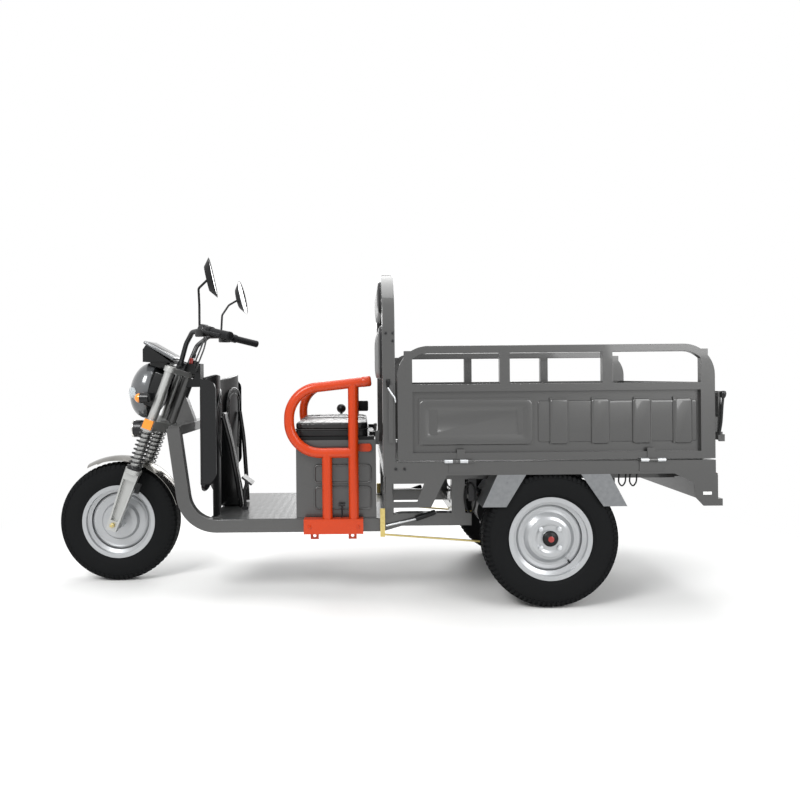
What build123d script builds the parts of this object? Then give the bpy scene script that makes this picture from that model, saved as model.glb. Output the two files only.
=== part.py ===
from build123d import *
from math import asin, atan2, cos, degrees, hypot, pi, radians, sin, sqrt, tan
import os

# Electric cargo tricycle, in millimetres. It faces -X, its left side is at -Y and +Z is up.
# The origin is on the ground, under the middle of the whole vehicle.

# Stance
overall_length = 2840
wheelbase = 1878
track = 830
front_tyre_diameter = 545
front_tyre_width = 98
rear_tyre_diameter = 550
rear_tyre_width = 108

# Clearances
seat_fit = 0.3  # between pieces that rest on each other with curved faces
moving_gap = 6.0  # between a moving piece and what it passes
pin_fit = 0.3  # round a hinge pin or a shaft
sheet = 2.5  # thickness of the pressed steel sheets

front_axle_x = -overall_length / 2 + front_tyre_diameter / 2
front_axle_z = front_tyre_diameter / 2
rear_axle_x = front_axle_x + wheelbase
rear_axle_z = rear_tyre_diameter / 2

# Rims
rim_flange_diameter = 335
rim_seat_diameter = 304.8
rim_inner_width = 76
rim_wall = 3.0
well_depth = 16

# Steering geometry
rake = 20.5
fork_offset = 65
fork_spacing = 200
steering_limit = 40

# Footwell frame
floor_height = 335
footwell_width = 636
rail_height = 58
rail_thickness = 30
down_tube_top_x = -817
down_tube_top_z = 722
down_tube_lean = 11.5
footwell_bend = 150
ladder_width = 510
ladder_tube_width = 40
ladder_rear_x = 452

# Seat box
box_front_x = -300
box_rear_x = 37
box_width = 620
box_top_z = 665
seat_pan_thickness = 18
cushion_thickness = 62
cushion_crown = 26

# Cargo bed
bed_front_x = 62
bed_rear_x = 1380
bed_width = 960
sill_height = 53
sill_width = 30
bed_floor_z = 590
gate_tube = 25
gate_rail_tube = 30
gate_board_top = 898
gate_rail_top = 1051
gate_front_x = 120
gate_rear_x = 1380
gate_bend = 108
post_depth = 50
post_width = 30
post_foot_z = 410
hoop_joint_z = 1114
hoop_top_z = 1379
hinge_pin_radius = 4
hinge_barrel_radius = 7


def ranged_box(x, y, z, mode=Mode.ADD):
    """A straight bar or plate that fills three (low, high) ranges."""
    with Locations((sum(x) / 2, sum(y) / 2, sum(z) / 2)):
        Box(x[1] - x[0], y[1] - y[0], z[1] - z[0], mode=mode)


def round_bar(start, end, radius, mode=Mode.ADD):
    """A round bar, or with Mode.SUBTRACT a bore, from one point to another."""
    start, end = Vector(*start), Vector(*end)
    with Locations(Plane(origin=start, z_dir=end - start)):
        Cylinder(
            radius,
            (end - start).length,
            align=(Align.CENTER, Align.CENTER, Align.MIN),
            mode=mode,
        )


def side_plate(points, y_low, y_high, mode=Mode.ADD):
    """A plate whose outline is drawn in X and Z, between two Y values."""
    with BuildSketch(Plane.XZ.offset(-y_high)) as outline:
        with BuildLine():
            Polyline(*points, close=True)
        make_face()
    extrude(outline.sketch, amount=y_high - y_low, mode=mode)


def bent_path(points, bend):
    """Straight runs joined by arcs. bend is one radius, or a list of them."""
    with BuildLine() as route:
        if len(points) == 2:
            Line(*points)
        else:
            FilletPolyline(*points, radius=bend)
    return route.line


def round_tube(points, bend, radius, mode=Mode.ADD):
    """A round tube swept along a bent path."""
    path = bent_path(points, bend)
    with BuildSketch(Plane(origin=path @ 0, z_dir=path % 0)) as section:
        Circle(radius)
    sweep(section.sketch, path=path, mode=mode)


def flat_tube(points, bend, across, width, depth, corner=3, mode=Mode.ADD):
    """A rectangular tube along a plane path; width lies along the across direction."""
    path = bent_path(points, bend)
    with BuildSketch(Plane(origin=path @ 0, x_dir=across, z_dir=path % 0)) as section:
        RectangleRounded(width, depth, corner)
    sweep(section.sketch, path=path, mode=mode)


def bent_sheet(points, thickness):
    """Closed outline of a bent sheet: the line, and its copy one thickness to the right."""
    offsets = []
    for i, point in enumerate(points):
        normals = []
        for a, b in ((i - 1, i), (i, i + 1)):
            if a >= 0 and b < len(points):
                dx, dy = points[b][0] - points[a][0], points[b][1] - points[a][1]
                length = hypot(dx, dy)
                normals.append((dy / length, -dx / length))
        nx = sum(n[0] for n in normals) / len(normals)
        ny = sum(n[1] for n in normals) / len(normals)
        scale = thickness / (nx * nx + ny * ny)
        offsets.append((point[0] + nx * scale, point[1] + ny * scale))
    return list(points) + offsets[::-1]


def turned(outline, plane, arc=360):
    """Revolves an outline of (axial, radial) points about the Y axis through the plane."""
    with BuildSketch(plane) as section:
        with BuildLine():
            Polyline(*outline, close=True)
        make_face()
    revolve(section.sketch, axis=Axis(plane.origin, (0, 1, 0)), revolution_arc=arc)


def axle_plane(x, y, z):
    """A plane through an axle: its x runs along +Y and its y points up."""
    return Plane(origin=(x, y, z), x_dir=(0, 1, 0), z_dir=(1, 0, 0))


pieces = {}


def keep(name, part):
    """Labels a finished piece and keeps it for export."""
    part.label = name
    pieces[name] = part


# Wheels
axle_radius = 8
stub_radius = 14
front_plane = axle_plane(front_axle_x, 0, front_axle_z)
hub_radius = 30
front_hub_half = 74
drum_radius = 80
rear_hub_inner = 52
hub_cap_radius = 32
disc_wall = 3.5
lug_circle = 106
lug_hole_radius = 6


def build_tyre(plane, diameter, width):
    """A tyre's solid body: beads between the flanges, bulged walls and a crowned tread."""
    crown = diameter / 2
    bead = rim_inner_width / 2 - seat_fit
    seat = rim_seat_diameter / 2 + seat_fit
    lip = rim_flange_diameter / 2 + 1.5
    shoulder = (width * 0.44, crown - 9)
    bulge = (width / 2, (lip + crown) / 2 - 8)
    with BuildPart() as tyre:
        with BuildSketch(plane) as section:
            with BuildLine():
                Polyline((-bead, lip), (-bead, seat), (bead, seat), (bead, lip))
                ThreePointArc((bead, lip), bulge, shoulder)
                ThreePointArc(shoulder, (0, crown), (-shoulder[0], shoulder[1]))
                ThreePointArc((-shoulder[0], shoulder[1]), (-bulge[0], bulge[1]), (-bead, lip))
            make_face()
        revolve(section.sketch, axis=Axis(plane.origin, (0, 1, 0)))
    return tyre.part


def rim_barrel(plane):
    """The rolled barrel with its two flanges, bead seats and drop centre."""
    half = rim_inner_width / 2
    flange = rim_flange_diameter / 2
    seat = rim_seat_diameter / 2
    well = seat - well_depth
    line = [
        (-half, flange),
        (-half, seat),
        (-half + 18, seat),
        (-half + 25, well),
        (half - 27, well),
        (half - 20, seat),
        (half, seat),
        (half, flange),
    ]
    turned(bent_sheet(line, rim_wall), plane)


def disc_line(outward, points):
    """Disc points as (outward distance, radius), turned to the side that faces out."""
    line = [(outward * a, r) for a, r in points]
    return line if outward > 0 else line[::-1]


well_inside = rim_seat_diameter / 2 - well_depth - rim_wall + 0.5

with BuildPart() as front_rim:
    rim_barrel(front_plane)
    front_disc = disc_line(
        -1, [(-6, well_inside), (8, 129), (12, 122), (9, 114), (9, 88), (22, 79), (26, 60), (26, hub_radius - 8)]
    )
    turned(bent_sheet(front_disc, disc_wall), front_plane)
    front_back = disc_line(1, [(20, drum_radius), (62, drum_radius), (66, 70), (66, hub_radius - 8)])
    turned(bent_sheet(front_back, disc_wall), front_plane)
    with Locations(Plane(origin=(front_axle_x, 0, front_axle_z), z_dir=(0, 1, 0))):
        Cylinder(hub_radius, 2 * front_hub_half)
    turned([(-12, hub_radius - 2), (24, hub_radius - 2), (24, drum_radius), (20, drum_radius), (-12, 60)], front_plane)
    round_bar(
        (front_axle_x, -front_hub_half - 1, front_axle_z),
        (front_axle_x, front_hub_half + 1, front_axle_z),
        axle_radius + pin_fit,
        Mode.SUBTRACT,
    )
keep("front_rim", front_rim.part)
keep("front_tyre", build_tyre(front_plane, front_tyre_diameter, front_tyre_width))

rear_disc_points = [
    (-6, well_inside),
    (7, 131),
    (11, 124),
    (8, 112),
    (10, 102),
    (24, 86),
    (29, 74),
    (29, 60),
    (25, 50),
    (25, hub_cap_radius - 4),
]
stub_end = 36


def build_rear_rim(side):
    """The dished steel wheel with its hub, brake drum and four bolt holes."""
    plane = axle_plane(rear_axle_x, side * track / 2, rear_axle_z)
    with BuildPart() as rim:
        rim_barrel(plane)
        turned(bent_sheet(disc_line(side, rear_disc_points), disc_wall), plane)
        hub = [(-rear_hub_inner, stub_radius), (stub_end, stub_radius), (stub_end, 26), (31, hub_cap_radius),
               (18, hub_cap_radius), (18, 62), (-4, 66), (-8, drum_radius + 4), (-rear_hub_inner, drum_radius + 4)]
        turned([(side * a, r) for a, r in hub], plane)
        round_bar(
            (rear_axle_x, side * (track / 2 - rear_hub_inner - 1), rear_axle_z),
            (rear_axle_x, side * (track / 2 + stub_end - 4), rear_axle_z),
            stub_radius + pin_fit,
            Mode.SUBTRACT,
        )
    return rim.part


for side, name in ((-1, "left"), (1, "right")):
    keep(f"rear_rim_{name}", build_rear_rim(side))
    tyre_plane = axle_plane(rear_axle_x, side * track / 2, rear_axle_z)
    keep(f"rear_tyre_{name}", build_tyre(tyre_plane, rear_tyre_diameter, rear_tyre_width))

# Steering column. Heights are measured up the steering axis from the foot of the axle's offset.
lean_sin, lean_cos = sin(radians(rake)), cos(radians(rake))
steering_foot = (
    front_axle_x + fork_offset * lean_cos,
    0,
    front_axle_z - fork_offset * lean_sin,
)
steering = Plane(origin=steering_foot, x_dir=(lean_cos, 0, -lean_sin), z_dir=(lean_sin, 0, lean_cos))
leg_top = 247
collar_top = 268
lower_yoke_low = 462
lower_yoke_high = 506
upper_yoke_low = 735
upper_yoke_high = 757
stanchion_radius = 21
spring_radius = 36
spring_wire = 8
spring_turns = 8
stem_radius = 14
head_tube_radius = 31
half_fork = fork_spacing / 2


def on_steering(x, y, height):
    """A point given along the steering frame: rearward, to the right and up the axis."""
    return steering.from_local_coords((x, y, height))


def stacked(x, y, low, high, radius, mode=Mode.ADD):
    """A round piece parallel to the steering axis."""
    round_bar(on_steering(x, y, low), on_steering(x, y, high), radius, mode)


def steering_box(x, y, height, mode=Mode.ADD):
    """A box square to the steering axis, from three (low, high) ranges."""
    centre = on_steering(sum(x) / 2, sum(y) / 2, sum(height) / 2)
    with Locations(Plane(origin=centre, x_dir=steering.x_dir, z_dir=steering.z_dir)):
        Box(x[1] - x[0], y[1] - y[0], height[1] - height[0], mode=mode)


with BuildPart() as fork_yokes:
    for low, high, reach in ((lower_yoke_low, lower_yoke_high, 30), (upper_yoke_low, upper_yoke_high, 28)):
        with BuildSketch(steering.offset(low)) as yoke:
            with Locations((-fork_offset, half_fork), (-fork_offset, -half_fork)):
                Circle(reach)
            Circle(reach + 2)
            make_hull()
        extrude(yoke.sketch, amount=high - low)
    for side in (-1, 1):
        stacked(-fork_offset, side * half_fork, collar_top, upper_yoke_high + 4, stanchion_radius)
        stacked(-fork_offset, side * half_fork, lower_yoke_low - 9, lower_yoke_low, spring_radius)
    stacked(0, 0, lower_yoke_high - 2, upper_yoke_low + 2, stem_radius)
keep("fork_yokes", fork_yokes.part)

# Fork legs: ribbed channels that taper to the axle, with the axle bolt
leg_width_top = 66
leg_width_foot = 46
leg_depth = 30
leg_rim = 7
leg_web = 9

with BuildPart() as fork_legs:
    for side in (-1, 1):
        outer = side * (half_fork + leg_depth / 2)
        inner = side * (half_fork - leg_depth / 2)
        leg_plane = Plane(
            origin=on_steering(-fork_offset, inner, 0), x_dir=(lean_cos, 0, -lean_sin), z_dir=(0, side, 0)
        )
        up = -side
        foot = -26 * up
        with BuildSketch(leg_plane) as leg:
            with BuildLine():
                Polyline(
                    (-leg_width_foot / 2, foot),
                    (leg_width_foot / 2, foot),
                    (leg_width_top / 2, up * leg_top),
                    (-leg_width_top / 2, up * leg_top),
                    close=True,
                )
            make_face()
        extrude(leg.sketch, amount=leg_depth)
        with BuildSketch(leg_plane.offset(leg_web)) as hollow:
            with BuildLine():
                Polyline(
                    (-leg_width_foot / 2 + leg_rim, up * 20),
                    (leg_width_foot / 2 - leg_rim, up * 20),
                    (leg_width_top / 2 - leg_rim, up * (leg_top - 34)),
                    (-leg_width_top / 2 + leg_rim, up * (leg_top - 34)),
                    close=True,
                )
            make_face()
        extrude(hollow.sketch, amount=leg_depth, mode=Mode.SUBTRACT)
        stacked(-fork_offset, side * half_fork, leg_top, collar_top - 1, spring_radius + 1)
        stacked(-fork_offset, side * half_fork, leg_top - 1, collar_top, stanchion_radius - 3)
    round_bar(
        (front_axle_x, -half_fork - leg_depth / 2 - 16, front_axle_z),
        (front_axle_x, half_fork + leg_depth / 2 + 16, front_axle_z),
        axle_radius,
    )
keep("fork_legs", fork_legs.part)

with BuildPart() as fork_springs:
    for side in (-1, 1):
        low = collar_top + 0.5
        high = lower_yoke_low - 9.5
        base = Plane(origin=on_steering(-fork_offset, side * half_fork, low), z_dir=steering.z_dir)
        with BuildSketch(base):
            Circle(spring_radius - 1)
            Circle(stanchion_radius + 4, mode=Mode.SUBTRACT)
        extrude(amount=high - low)
keep("fork_springs", fork_springs.part)

# Front mudguard: a crowned blade over the tyre, held by two stays
guard_crown = 302
guard_edge = 285
guard_half = 62
guard_wall = 2
guard_front_angle = 118
guard_rear_angle = 16

with BuildPart() as front_mudguard:
    rear_dir = Vector(cos(radians(guard_rear_angle)), 0, sin(radians(guard_rear_angle)))
    blade_plane = Plane(
        origin=(front_axle_x, 0, front_axle_z), x_dir=(0, 1, 0), z_dir=Vector(0, 1, 0).cross(rear_dir) * -1
    )
    flip = 1 if blade_plane.y_dir.dot(rear_dir) > 0 else -1
    with BuildSketch(blade_plane) as blade:
        with BuildLine():
            outer = ThreePointArc((-guard_half, flip * guard_edge), (0, flip * guard_crown), (guard_half, flip * guard_edge))
            inner = ThreePointArc(
                (-guard_half, flip * (guard_edge - guard_wall)),
                (0, flip * (guard_crown - guard_wall)),
                (guard_half, flip * (guard_edge - guard_wall)),
            )
            Line(outer @ 0, inner @ 0)
            Line(outer @ 1, inner @ 1)
        make_face()
    revolve(
        blade.sketch,
        axis=Axis((front_axle_x, 0, front_axle_z), (0, -1, 0)),
        revolution_arc=guard_front_angle - guard_rear_angle,
    )
    for side in (-1, 1):
        low_y, high_y = sorted((side * 59, side * 62.5))
        steering_box((-85, -45), (low_y, high_y), (200, 289))
        low_y, high_y = sorted((side * 59, side * (half_fork - leg_depth / 2)))
        steering_box((-85, -45), (low_y, high_y), (200, 210))
keep("front_mudguard", front_mudguard.part)


# Headlamp housing: a hollow shell held by two ears on the fork tubes
nacelle_half = 105
nacelle_wall = 3
nacelle_outline = [
    (-1074, 792),
    (-1074, 936),
    (-1050, 990),
    (-1015, 1007),
    (-944, 1007),
    (-950, 880),
    (-1003, 746),
    (-1050, 752),
]
nacelle_hollow = [
    (-1080, 798),
    (-1080, 930),
    (-1048, 986),
    (-1014, 1004),
    (-947, 1004),
    (-953, 880),
    (-1005, 749),
    (-1049, 755),
]

with BuildPart() as headlamp_shell:
    side_plate(nacelle_outline, -nacelle_half, nacelle_half)
    side_plate(
        nacelle_hollow, -nacelle_half + nacelle_wall, nacelle_half - nacelle_wall, Mode.SUBTRACT
    )
    for side in (-1, 1):
        low_y, high_y = sorted((side * 70, side * nacelle_half))
        steering_box((-104, -66), (low_y, high_y), (610, 634))
        stacked(-fork_offset, side * half_fork, 600, 650, stanchion_radius + 0.1, Mode.SUBTRACT)
keep("headlamp_shell", headlamp_shell.part)

lens_half = 96
with BuildPart() as headlamp_lens:
    lens_outline = [(-1074, 800), (-1074, 935), (-1090, 925), (-1101, 880), (-1101, 846), (-1090, 806)]
    side_plate(lens_outline, -lens_half, lens_half)
    inner_half = nacelle_half - nacelle_wall
    ranged_box((-1074, -1064), (-inner_half, inner_half), (798, 936))
keep("headlamp_lens", headlamp_lens.part)

# Turn signals on short stalks beside the headlamp housing
signal_x = -993
signal_z = 845
signal_y = 136
signal_radius = 21

with BuildPart() as turn_signals:
    for side in (-1, 1):
        round_bar((signal_x, side * nacelle_half, signal_z), (signal_x, side * signal_y, signal_z), 9)
        round_bar((-1015, side * signal_y, signal_z), (-972, side * signal_y, signal_z), signal_radius)
        with Locations((-1015, side * signal_y, signal_z)):
            Sphere(signal_radius)
    for side in (-1, 1):
        low_y, high_y = sorted((side * (half_fork + 30), side * (half_fork + 43)))
        steering_box((-86, -44), (low_y, high_y), (463, 506))
keep("turn_signals", turn_signals.part)

# Horn in front of the lower yoke
horn_z = 698
horn_radius = 40
with BuildPart() as horn:
    round_bar((-1078, 0, horn_z), (-1046, 0, horn_z), horn_radius)
    steering_box((-134, -fork_offset - 30), (-14, 14), (464, 471))
keep("horn", horn.part)

# Instrument panel: a wedge on the housing, its screen tilted up and back
with BuildPart() as instrument_panel:
    dial_outline = [(-1015, 1007), (-1015, 1064), (-1000, 1085), (-882, 1001), (-882, 996), (-905, 1007)]
    side_plate(dial_outline, -86, 86)
keep("instrument_panel", instrument_panel.part)

# Steering cover with the key switch, behind the top of the column
cover_half = 34
with BuildPart() as steering_cover:
    ranged_box((-836, -766), (-cover_half, cover_half), (890, 998))
    stacked(0, 0, 600, upper_yoke_low + 1, head_tube_radius + moving_gap, Mode.SUBTRACT)
    steering_box((-90, 33), (-60, 60), (upper_yoke_low - 1, upper_yoke_high), Mode.SUBTRACT)
    round_bar((-801, 0, 997), (-796, 0, 1012), 15)
keep("steering_cover", steering_cover.part)

# Handlebar
bar_radius = 11
bar_points = [
    (-567, -350, 1106),
    (-705, -230, 1140),
    (-770, -160, 1135),
    (-813, -100, 1087),
    (-850, -70, 985),
    (-850, 70, 985),
    (-813, 100, 1087),
    (-770, 160, 1135),
    (-705, 230, 1140),
    (-567, 350, 1106),
]
bar_bends = [60, 45, 45, 35, 35, 45, 45, 60]

with BuildPart() as handlebar:
    round_tube(bar_points, bar_bends, bar_radius)
    for side in (-1, 1):
        low_y, high_y = sorted((side * 38, side * 58))
        steering_box((-56, -16), (low_y, high_y), (upper_yoke_high, 792))
keep("handlebar", handlebar.part)

grip_radius = 17
grip_length = 122
with BuildPart() as hand_controls:
    for side in (-1, 1):
        tip = Vector(-567, side * 350, 1106)
        along = (tip - Vector(-705, side * 230, 1140)).normalized()
        forward = Vector(0, 0, 1).cross(along) * side * -1
        forward = forward.normalized() * (-1 if forward.X > 0 else 1)
        round_bar(tip - along * grip_length, tip + along * 5, grip_radius)
        switch_foot = tip - along * (grip_length + 42)
        round_bar(switch_foot, tip - along * grip_length, 21)
        lever_root = switch_foot + along * 14 + forward * 14
        lever_mid = lever_root + forward * 34 + along * 30
        lever_end = tip + forward * 46 - along * 4
        round_tube([lever_root, lever_mid, lever_end], 20, 6)
        round_bar(tip - along * (grip_length + 60), tip + along * 0.2, bar_radius + 0.05, Mode.SUBTRACT)
keep("hand_controls", hand_controls.part)


def build_mirror(stem, head_centre, side):
    """An oval mirror on a bent stem; the glass faces back and a little inwards."""
    head = Vector(*head_centre)
    facing = Vector(cos(radians(12)), -side * 0.12, sin(radians(12))).normalized()
    across = Vector(0, 1, 0) - facing * facing.Y
    face = Plane(origin=head, x_dir=across, z_dir=facing)
    with BuildPart() as mirror_part:
        round_tube(stem, [18, 30] if len(stem) == 4 else 24, 5)
        with BuildSketch(face.offset(-24)) as back:
            Ellipse(34, 52)
        with BuildSketch(face.offset(4)) as front:
            Ellipse(55, 88)
        loft(sections=[back.sketch, front.sketch])
        with BuildSketch(face.offset(1)) as recess:
            Ellipse(50, 83)
        extrude(recess.sketch, amount=6, mode=Mode.SUBTRACT)
    return mirror_part.part


left_stem = [(-722, -225, 1150), (-722, -225, 1250), (-707, -300, 1310), (-662, -335, 1340)]
right_stem = [(-722, 225, 1150), (-717, 228, 1245), (-697, 300, 1303), (-656, 332, 1333)]
keep("mirrors", build_mirror(left_stem, (-640, -335, 1350), -1) + build_mirror(right_stem, (-634, 335, 1344), 1))

# Main frame
head_low = lower_yoke_high + moving_gap
head_high = upper_yoke_low - moving_gap
side_tube_y = 297
side_tube_width = 42
tube_depth = 55
floor_rail_z = floor_height - tube_depth / 2
rear_rail_z = 330
foot_x = down_tube_top_x + (down_tube_top_z - floor_rail_z) * 0.1375
beam_low = 497
beam_high = 537
beam_front_x = 72
beam_rear_x = 1290
post_x = 381

with BuildPart() as main_frame:
    stacked(0, 0, head_low, head_high, head_tube_radius)
    side_plate([(-903, 745), (-851, 884), (-800, 742), (-792, 690), (-842, 690)], -22, 22)
    ranged_box((-844, -790), (-286, 286), (690, 730))
    for side in (-1, 1):
        y = side * side_tube_y
        flat_tube(
            [
                (down_tube_top_x, y, down_tube_top_z),
                (foot_x, y, floor_rail_z),
                (60, y, floor_rail_z),
                (140, y, rear_rail_z),
                (436, y, rear_rail_z),
            ],
            [142, 60, 60],
            (0, 1, 0),
            side_tube_width,
            tube_depth,
        )
        low_y, high_y = y - side_tube_width / 2, y + side_tube_width / 2
        ranged_box((post_x - 28, post_x + 28), (low_y, high_y), (rear_rail_z + 20, beam_low + 1))
        ranged_box((beam_front_x, beam_rear_x), (low_y, high_y), (beam_low, beam_high))
        flat_tube(
            [(90, y, rear_rail_z + 10), (90, y, beam_low + 10)], 10, (0, 1, 0), side_tube_width, 40
        )
    for x, z in ((-640, floor_rail_z), (-320, floor_rail_z), (60, 312), (400, rear_rail_z)):
        ranged_box((x - 20, x + 20), (-side_tube_y, side_tube_y), (z - 20, z + 20))
    for x in (92, 560, 900, 1270):
        ranged_box((x - 20, x + 20), (-side_tube_y, side_tube_y), (beam_low, beam_high))
    stacked(0, 0, head_low - 2, head_high + 2, stem_radius + pin_fit, Mode.SUBTRACT)
keep("main_frame", main_frame.part)

plate_thickness = 3
plate_top = floor_height + plate_thickness
with BuildPart() as floor_plate:
    ranged_box((-615, 45), (-318, 318), (floor_height, plate_top))
    ranged_box((-668, -615), (-272, 272), (floor_height, plate_top))
keep("floor_plate", floor_plate.part)

# Leg shield: a moulded panel that stands across the front of the footwell
shield_wall = 4
shield_curve = [(-700, -304), (-641, -236), (-664, -110), (-688, 0), (-664, 110), (-641, 236), (-700, 304)]
with BuildPart() as leg_shield:
    with BuildSketch(Plane.XY.offset(plate_top)) as shield_plan:
        with BuildLine():
            rear_line = Spline(*shield_curve)
            front_line = Spline(*[(x - shield_wall, y) for x, y in shield_curve])
            Line(rear_line @ 0, front_line @ 0)
            Line(rear_line @ 1, front_line @ 1)
        make_face()
    extrude(shield_plan.sketch, amount=945 - plate_top)
    with BuildSketch(Plane.YZ.offset(-900)) as shield_top:
        with BuildLine():
            Polyline((-310, 1000), (-310, 880), (-290, 930), (-250, 945), (-110, 930), (0, 922))
            Polyline((0, 922), (110, 930), (250, 945), (290, 930), (310, 880), (310, 1000))
            Line((310, 1000), (-310, 1000))
        make_face()
    extrude(shield_top.sketch, amount=400, mode=Mode.SUBTRACT)
    for side in (-1, 1):
        low_y, high_y = sorted((side * 270, side * 320))
        ranged_box((-760, -600), (low_y, high_y), (330, 480), Mode.SUBTRACT)
keep("leg_shield", leg_shield.part)

with BuildPart() as brake_pedal:
    ranged_box((-566, -536), (-115, -85), (plate_top, plate_top + 12))
    round_tube([(-551, -100, plate_top + 6), (-556, -100, 420), (-540, -100, 470)], 40, 7)
    pedal_plane = Plane(origin=(-541, -100, 466), x_dir=(0, 1, 0), z_dir=(0.62, 0, 0.78))
    with BuildSketch(pedal_plane) as pad:
        RectangleRounded(84, 56, 10)
    extrude(pad.sketch, amount=9)
keep("brake_pedal", brake_pedal.part)

# Seat box, open under the seat, with the battery inside
box_half = box_width / 2
with BuildPart() as seat_box:
    ranged_box((box_front_x, box_rear_x), (-box_half, box_half), (plate_top, box_top_z))
    ranged_box(
        (box_front_x + sheet, box_rear_x - sheet),
        (-box_half + sheet, box_half - sheet),
        (plate_top - 1, box_top_z - sheet),
        Mode.SUBTRACT,
    )
    ranged_box(
        (box_front_x + 32, box_rear_x - 32), (-box_half + 32, box_half - 32), (600, 700), Mode.SUBTRACT
    )
    for side in (-1, 1):
        for z_low, z_high in ((368, 473), (486, 561)):
            with BuildSketch(Plane.XZ.offset(-side * box_half)) as emboss:
                with Locations((-106, (z_low + z_high) / 2)):
                    RectangleRounded(238, z_high - z_low, 14)
            extrude(emboss.sketch, amount=-side * 4)
        for y in (side * 208, side * 244):
            ranged_box((box_rear_x - 1, 52), (y - 8, y + 8), (640, 690))
            round_bar((45, y - 8, 690), (45, y + 8, 690), 9)
        round_bar((45, side * 216, 690), (45, side * 236, 690), hinge_pin_radius)
keep("seat_box", seat_box.part)

with BuildPart() as battery_pack:
    for side in (-1, 1):
        for row in (0, 1):
            low_x = -272 + row * 136
            low_y, high_y = sorted((side * 6, side * 250))
            ranged_box((low_x, low_x + 130), (low_y, high_y), (plate_top, 520))
    ranged_box((-150, -130), (-250, 250), (plate_top, 350))
    ranged_box((-270, -10), (-8, 8), (plate_top, 350))
keep("battery_pack", battery_pack.part)

seat_half = 306
with BuildPart() as seat_base:
    ranged_box((-310, 30), (-seat_half, seat_half), (box_top_z, box_top_z + 15))
    for side in (-1, 1):
        y = side * 226
        ranged_box((10, 45), (y - 8, y + 8), (box_top_z + 6, 694))
        round_bar((45, y - 8, 690), (45, y + 8, 690), 9)
        round_bar((45, y - 9, 690), (45, y + 9, 690), hinge_pin_radius + pin_fit, Mode.SUBTRACT)
keep("seat_base", seat_base.part)

with BuildPart() as seat_cushion:
    ranged_box((-304, 4), (-seat_half, seat_half), (box_top_z + 15, 745))
    fillet(seat_cushion.edges().filter_by(Axis.Z), 30)
    fillet(seat_cushion.faces().sort_by(Axis.Z)[-1].edges(), 18)
keep("seat_cushion", seat_cushion.part)

# Side guards
guard_tube = 21
guard_y = 345
foot_front_x = -265
foot_rear_x = -19


def build_side_guard(side):
    """The tubular guard beside the seat, its foot bracket and two eye lugs."""
    y = side * guard_y
    with BuildPart() as guard:
        round_tube([(-57.5, y, 330), (-57.5, y, 905)], 10, guard_tube)
        round_tube([(-167.5, y, 330), (-167.5, y, 615)], 10, guard_tube)
        loop = [(-57.5, y, 615), (-324, y, 615), (-324, y, 876), (13, y, 913)]
        round_tube(loop, [130, 130], guard_tube)
        low_y, high_y = sorted((side * 318, side * 368))
        ranged_box((foot_front_x, foot_rear_x), (low_y, high_y), (282, 343))
        low_y, high_y = sorted((side * 322, side * 364))
        ranged_box((foot_front_x + 4, foot_rear_x - 4), (low_y, high_y), (281, 339), Mode.SUBTRACT)
        for x in (-223, -64):
            low_y, high_y = sorted((side * 318, side * 324))
            ranged_box((x - 17, x + 17), (low_y, high_y), (252, 284))
            round_bar((x, side * 316, 266), (x, side * 326, 266), 7, Mode.SUBTRACT)
    return guard.part


keep("side_guards", build_side_guard(-1) + build_side_guard(1))

with BuildPart() as hand_lever:
    ranged_box((-150, -100), (368, 384), (290, 338))
    round_tube([(-125, 377, 320), (-120, 388, 560), (-129, 388, 745)], 200, 7)
    with Locations((-129, 388, 766)):
        Sphere(24)
keep("hand_lever", hand_lever.part)

# Backrest hoop and its pads
hoop_x = 87
hoop_y = 465
hoop_bend = 250
hoop_depth = 50
hoop_width = 30
with BuildPart() as backrest_hoop:
    hoop_path = [
        (hoop_x, -hoop_y, bed_floor_z),
        (hoop_x, -hoop_y, hoop_top_z - 15),
        (hoop_x, hoop_y, hoop_top_z - 15),
        (hoop_x, hoop_y, bed_floor_z),
    ]
    flat_tube(hoop_path, hoop_bend, (1, 0, 0), hoop_depth, hoop_width)
    for z, half in ((945, 455), (1106, 455), (1222, 420), (1316, 350)):
        ranged_box((72, 97), (-half, half), (z - 12, z + 12))
    for side in (-1, 1):
        a, b = sorted((side * (bed_width / 2 - 1), side * (bed_width / 2 + 6)))
        ranged_box((82, 105), (a, b), (700, 800))
        a, b = sorted((side * (bed_width / 2 + 5), side * (bed_width / 2 + 12)))
        ranged_box((85, 102), (a, b), (669, 898))
keep("backrest_hoop", backrest_hoop.part)

with BuildPart() as backrest_pads:
    for z_low, z_high, half in ((921, 1141, 400), (1201, 1339, 286)):
        with BuildSketch(Plane.YZ.offset(46)) as pad:
            with Locations((0, (z_low + z_high) / 2)):
                RectangleRounded(2 * half, z_high - z_low, 40)
        extrude(pad.sketch, amount=26)
    fillet(backrest_pads.faces().sort_by(Axis.X)[0:2].edges(), 8)
keep("backrest_pads", backrest_pads.part)

# Cargo bed
bed_half = bed_width / 2
sill_low = bed_floor_z - sill_height
sill_wall = 3
floor_sheet_low = 585
knuckle = 29
knuckle_gap = 1
side_hinges_x = (370, 1124)
rear_hinges_y = (-300, 300)
hinge_out = 8
hinge_z = bed_floor_z + 3

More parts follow.
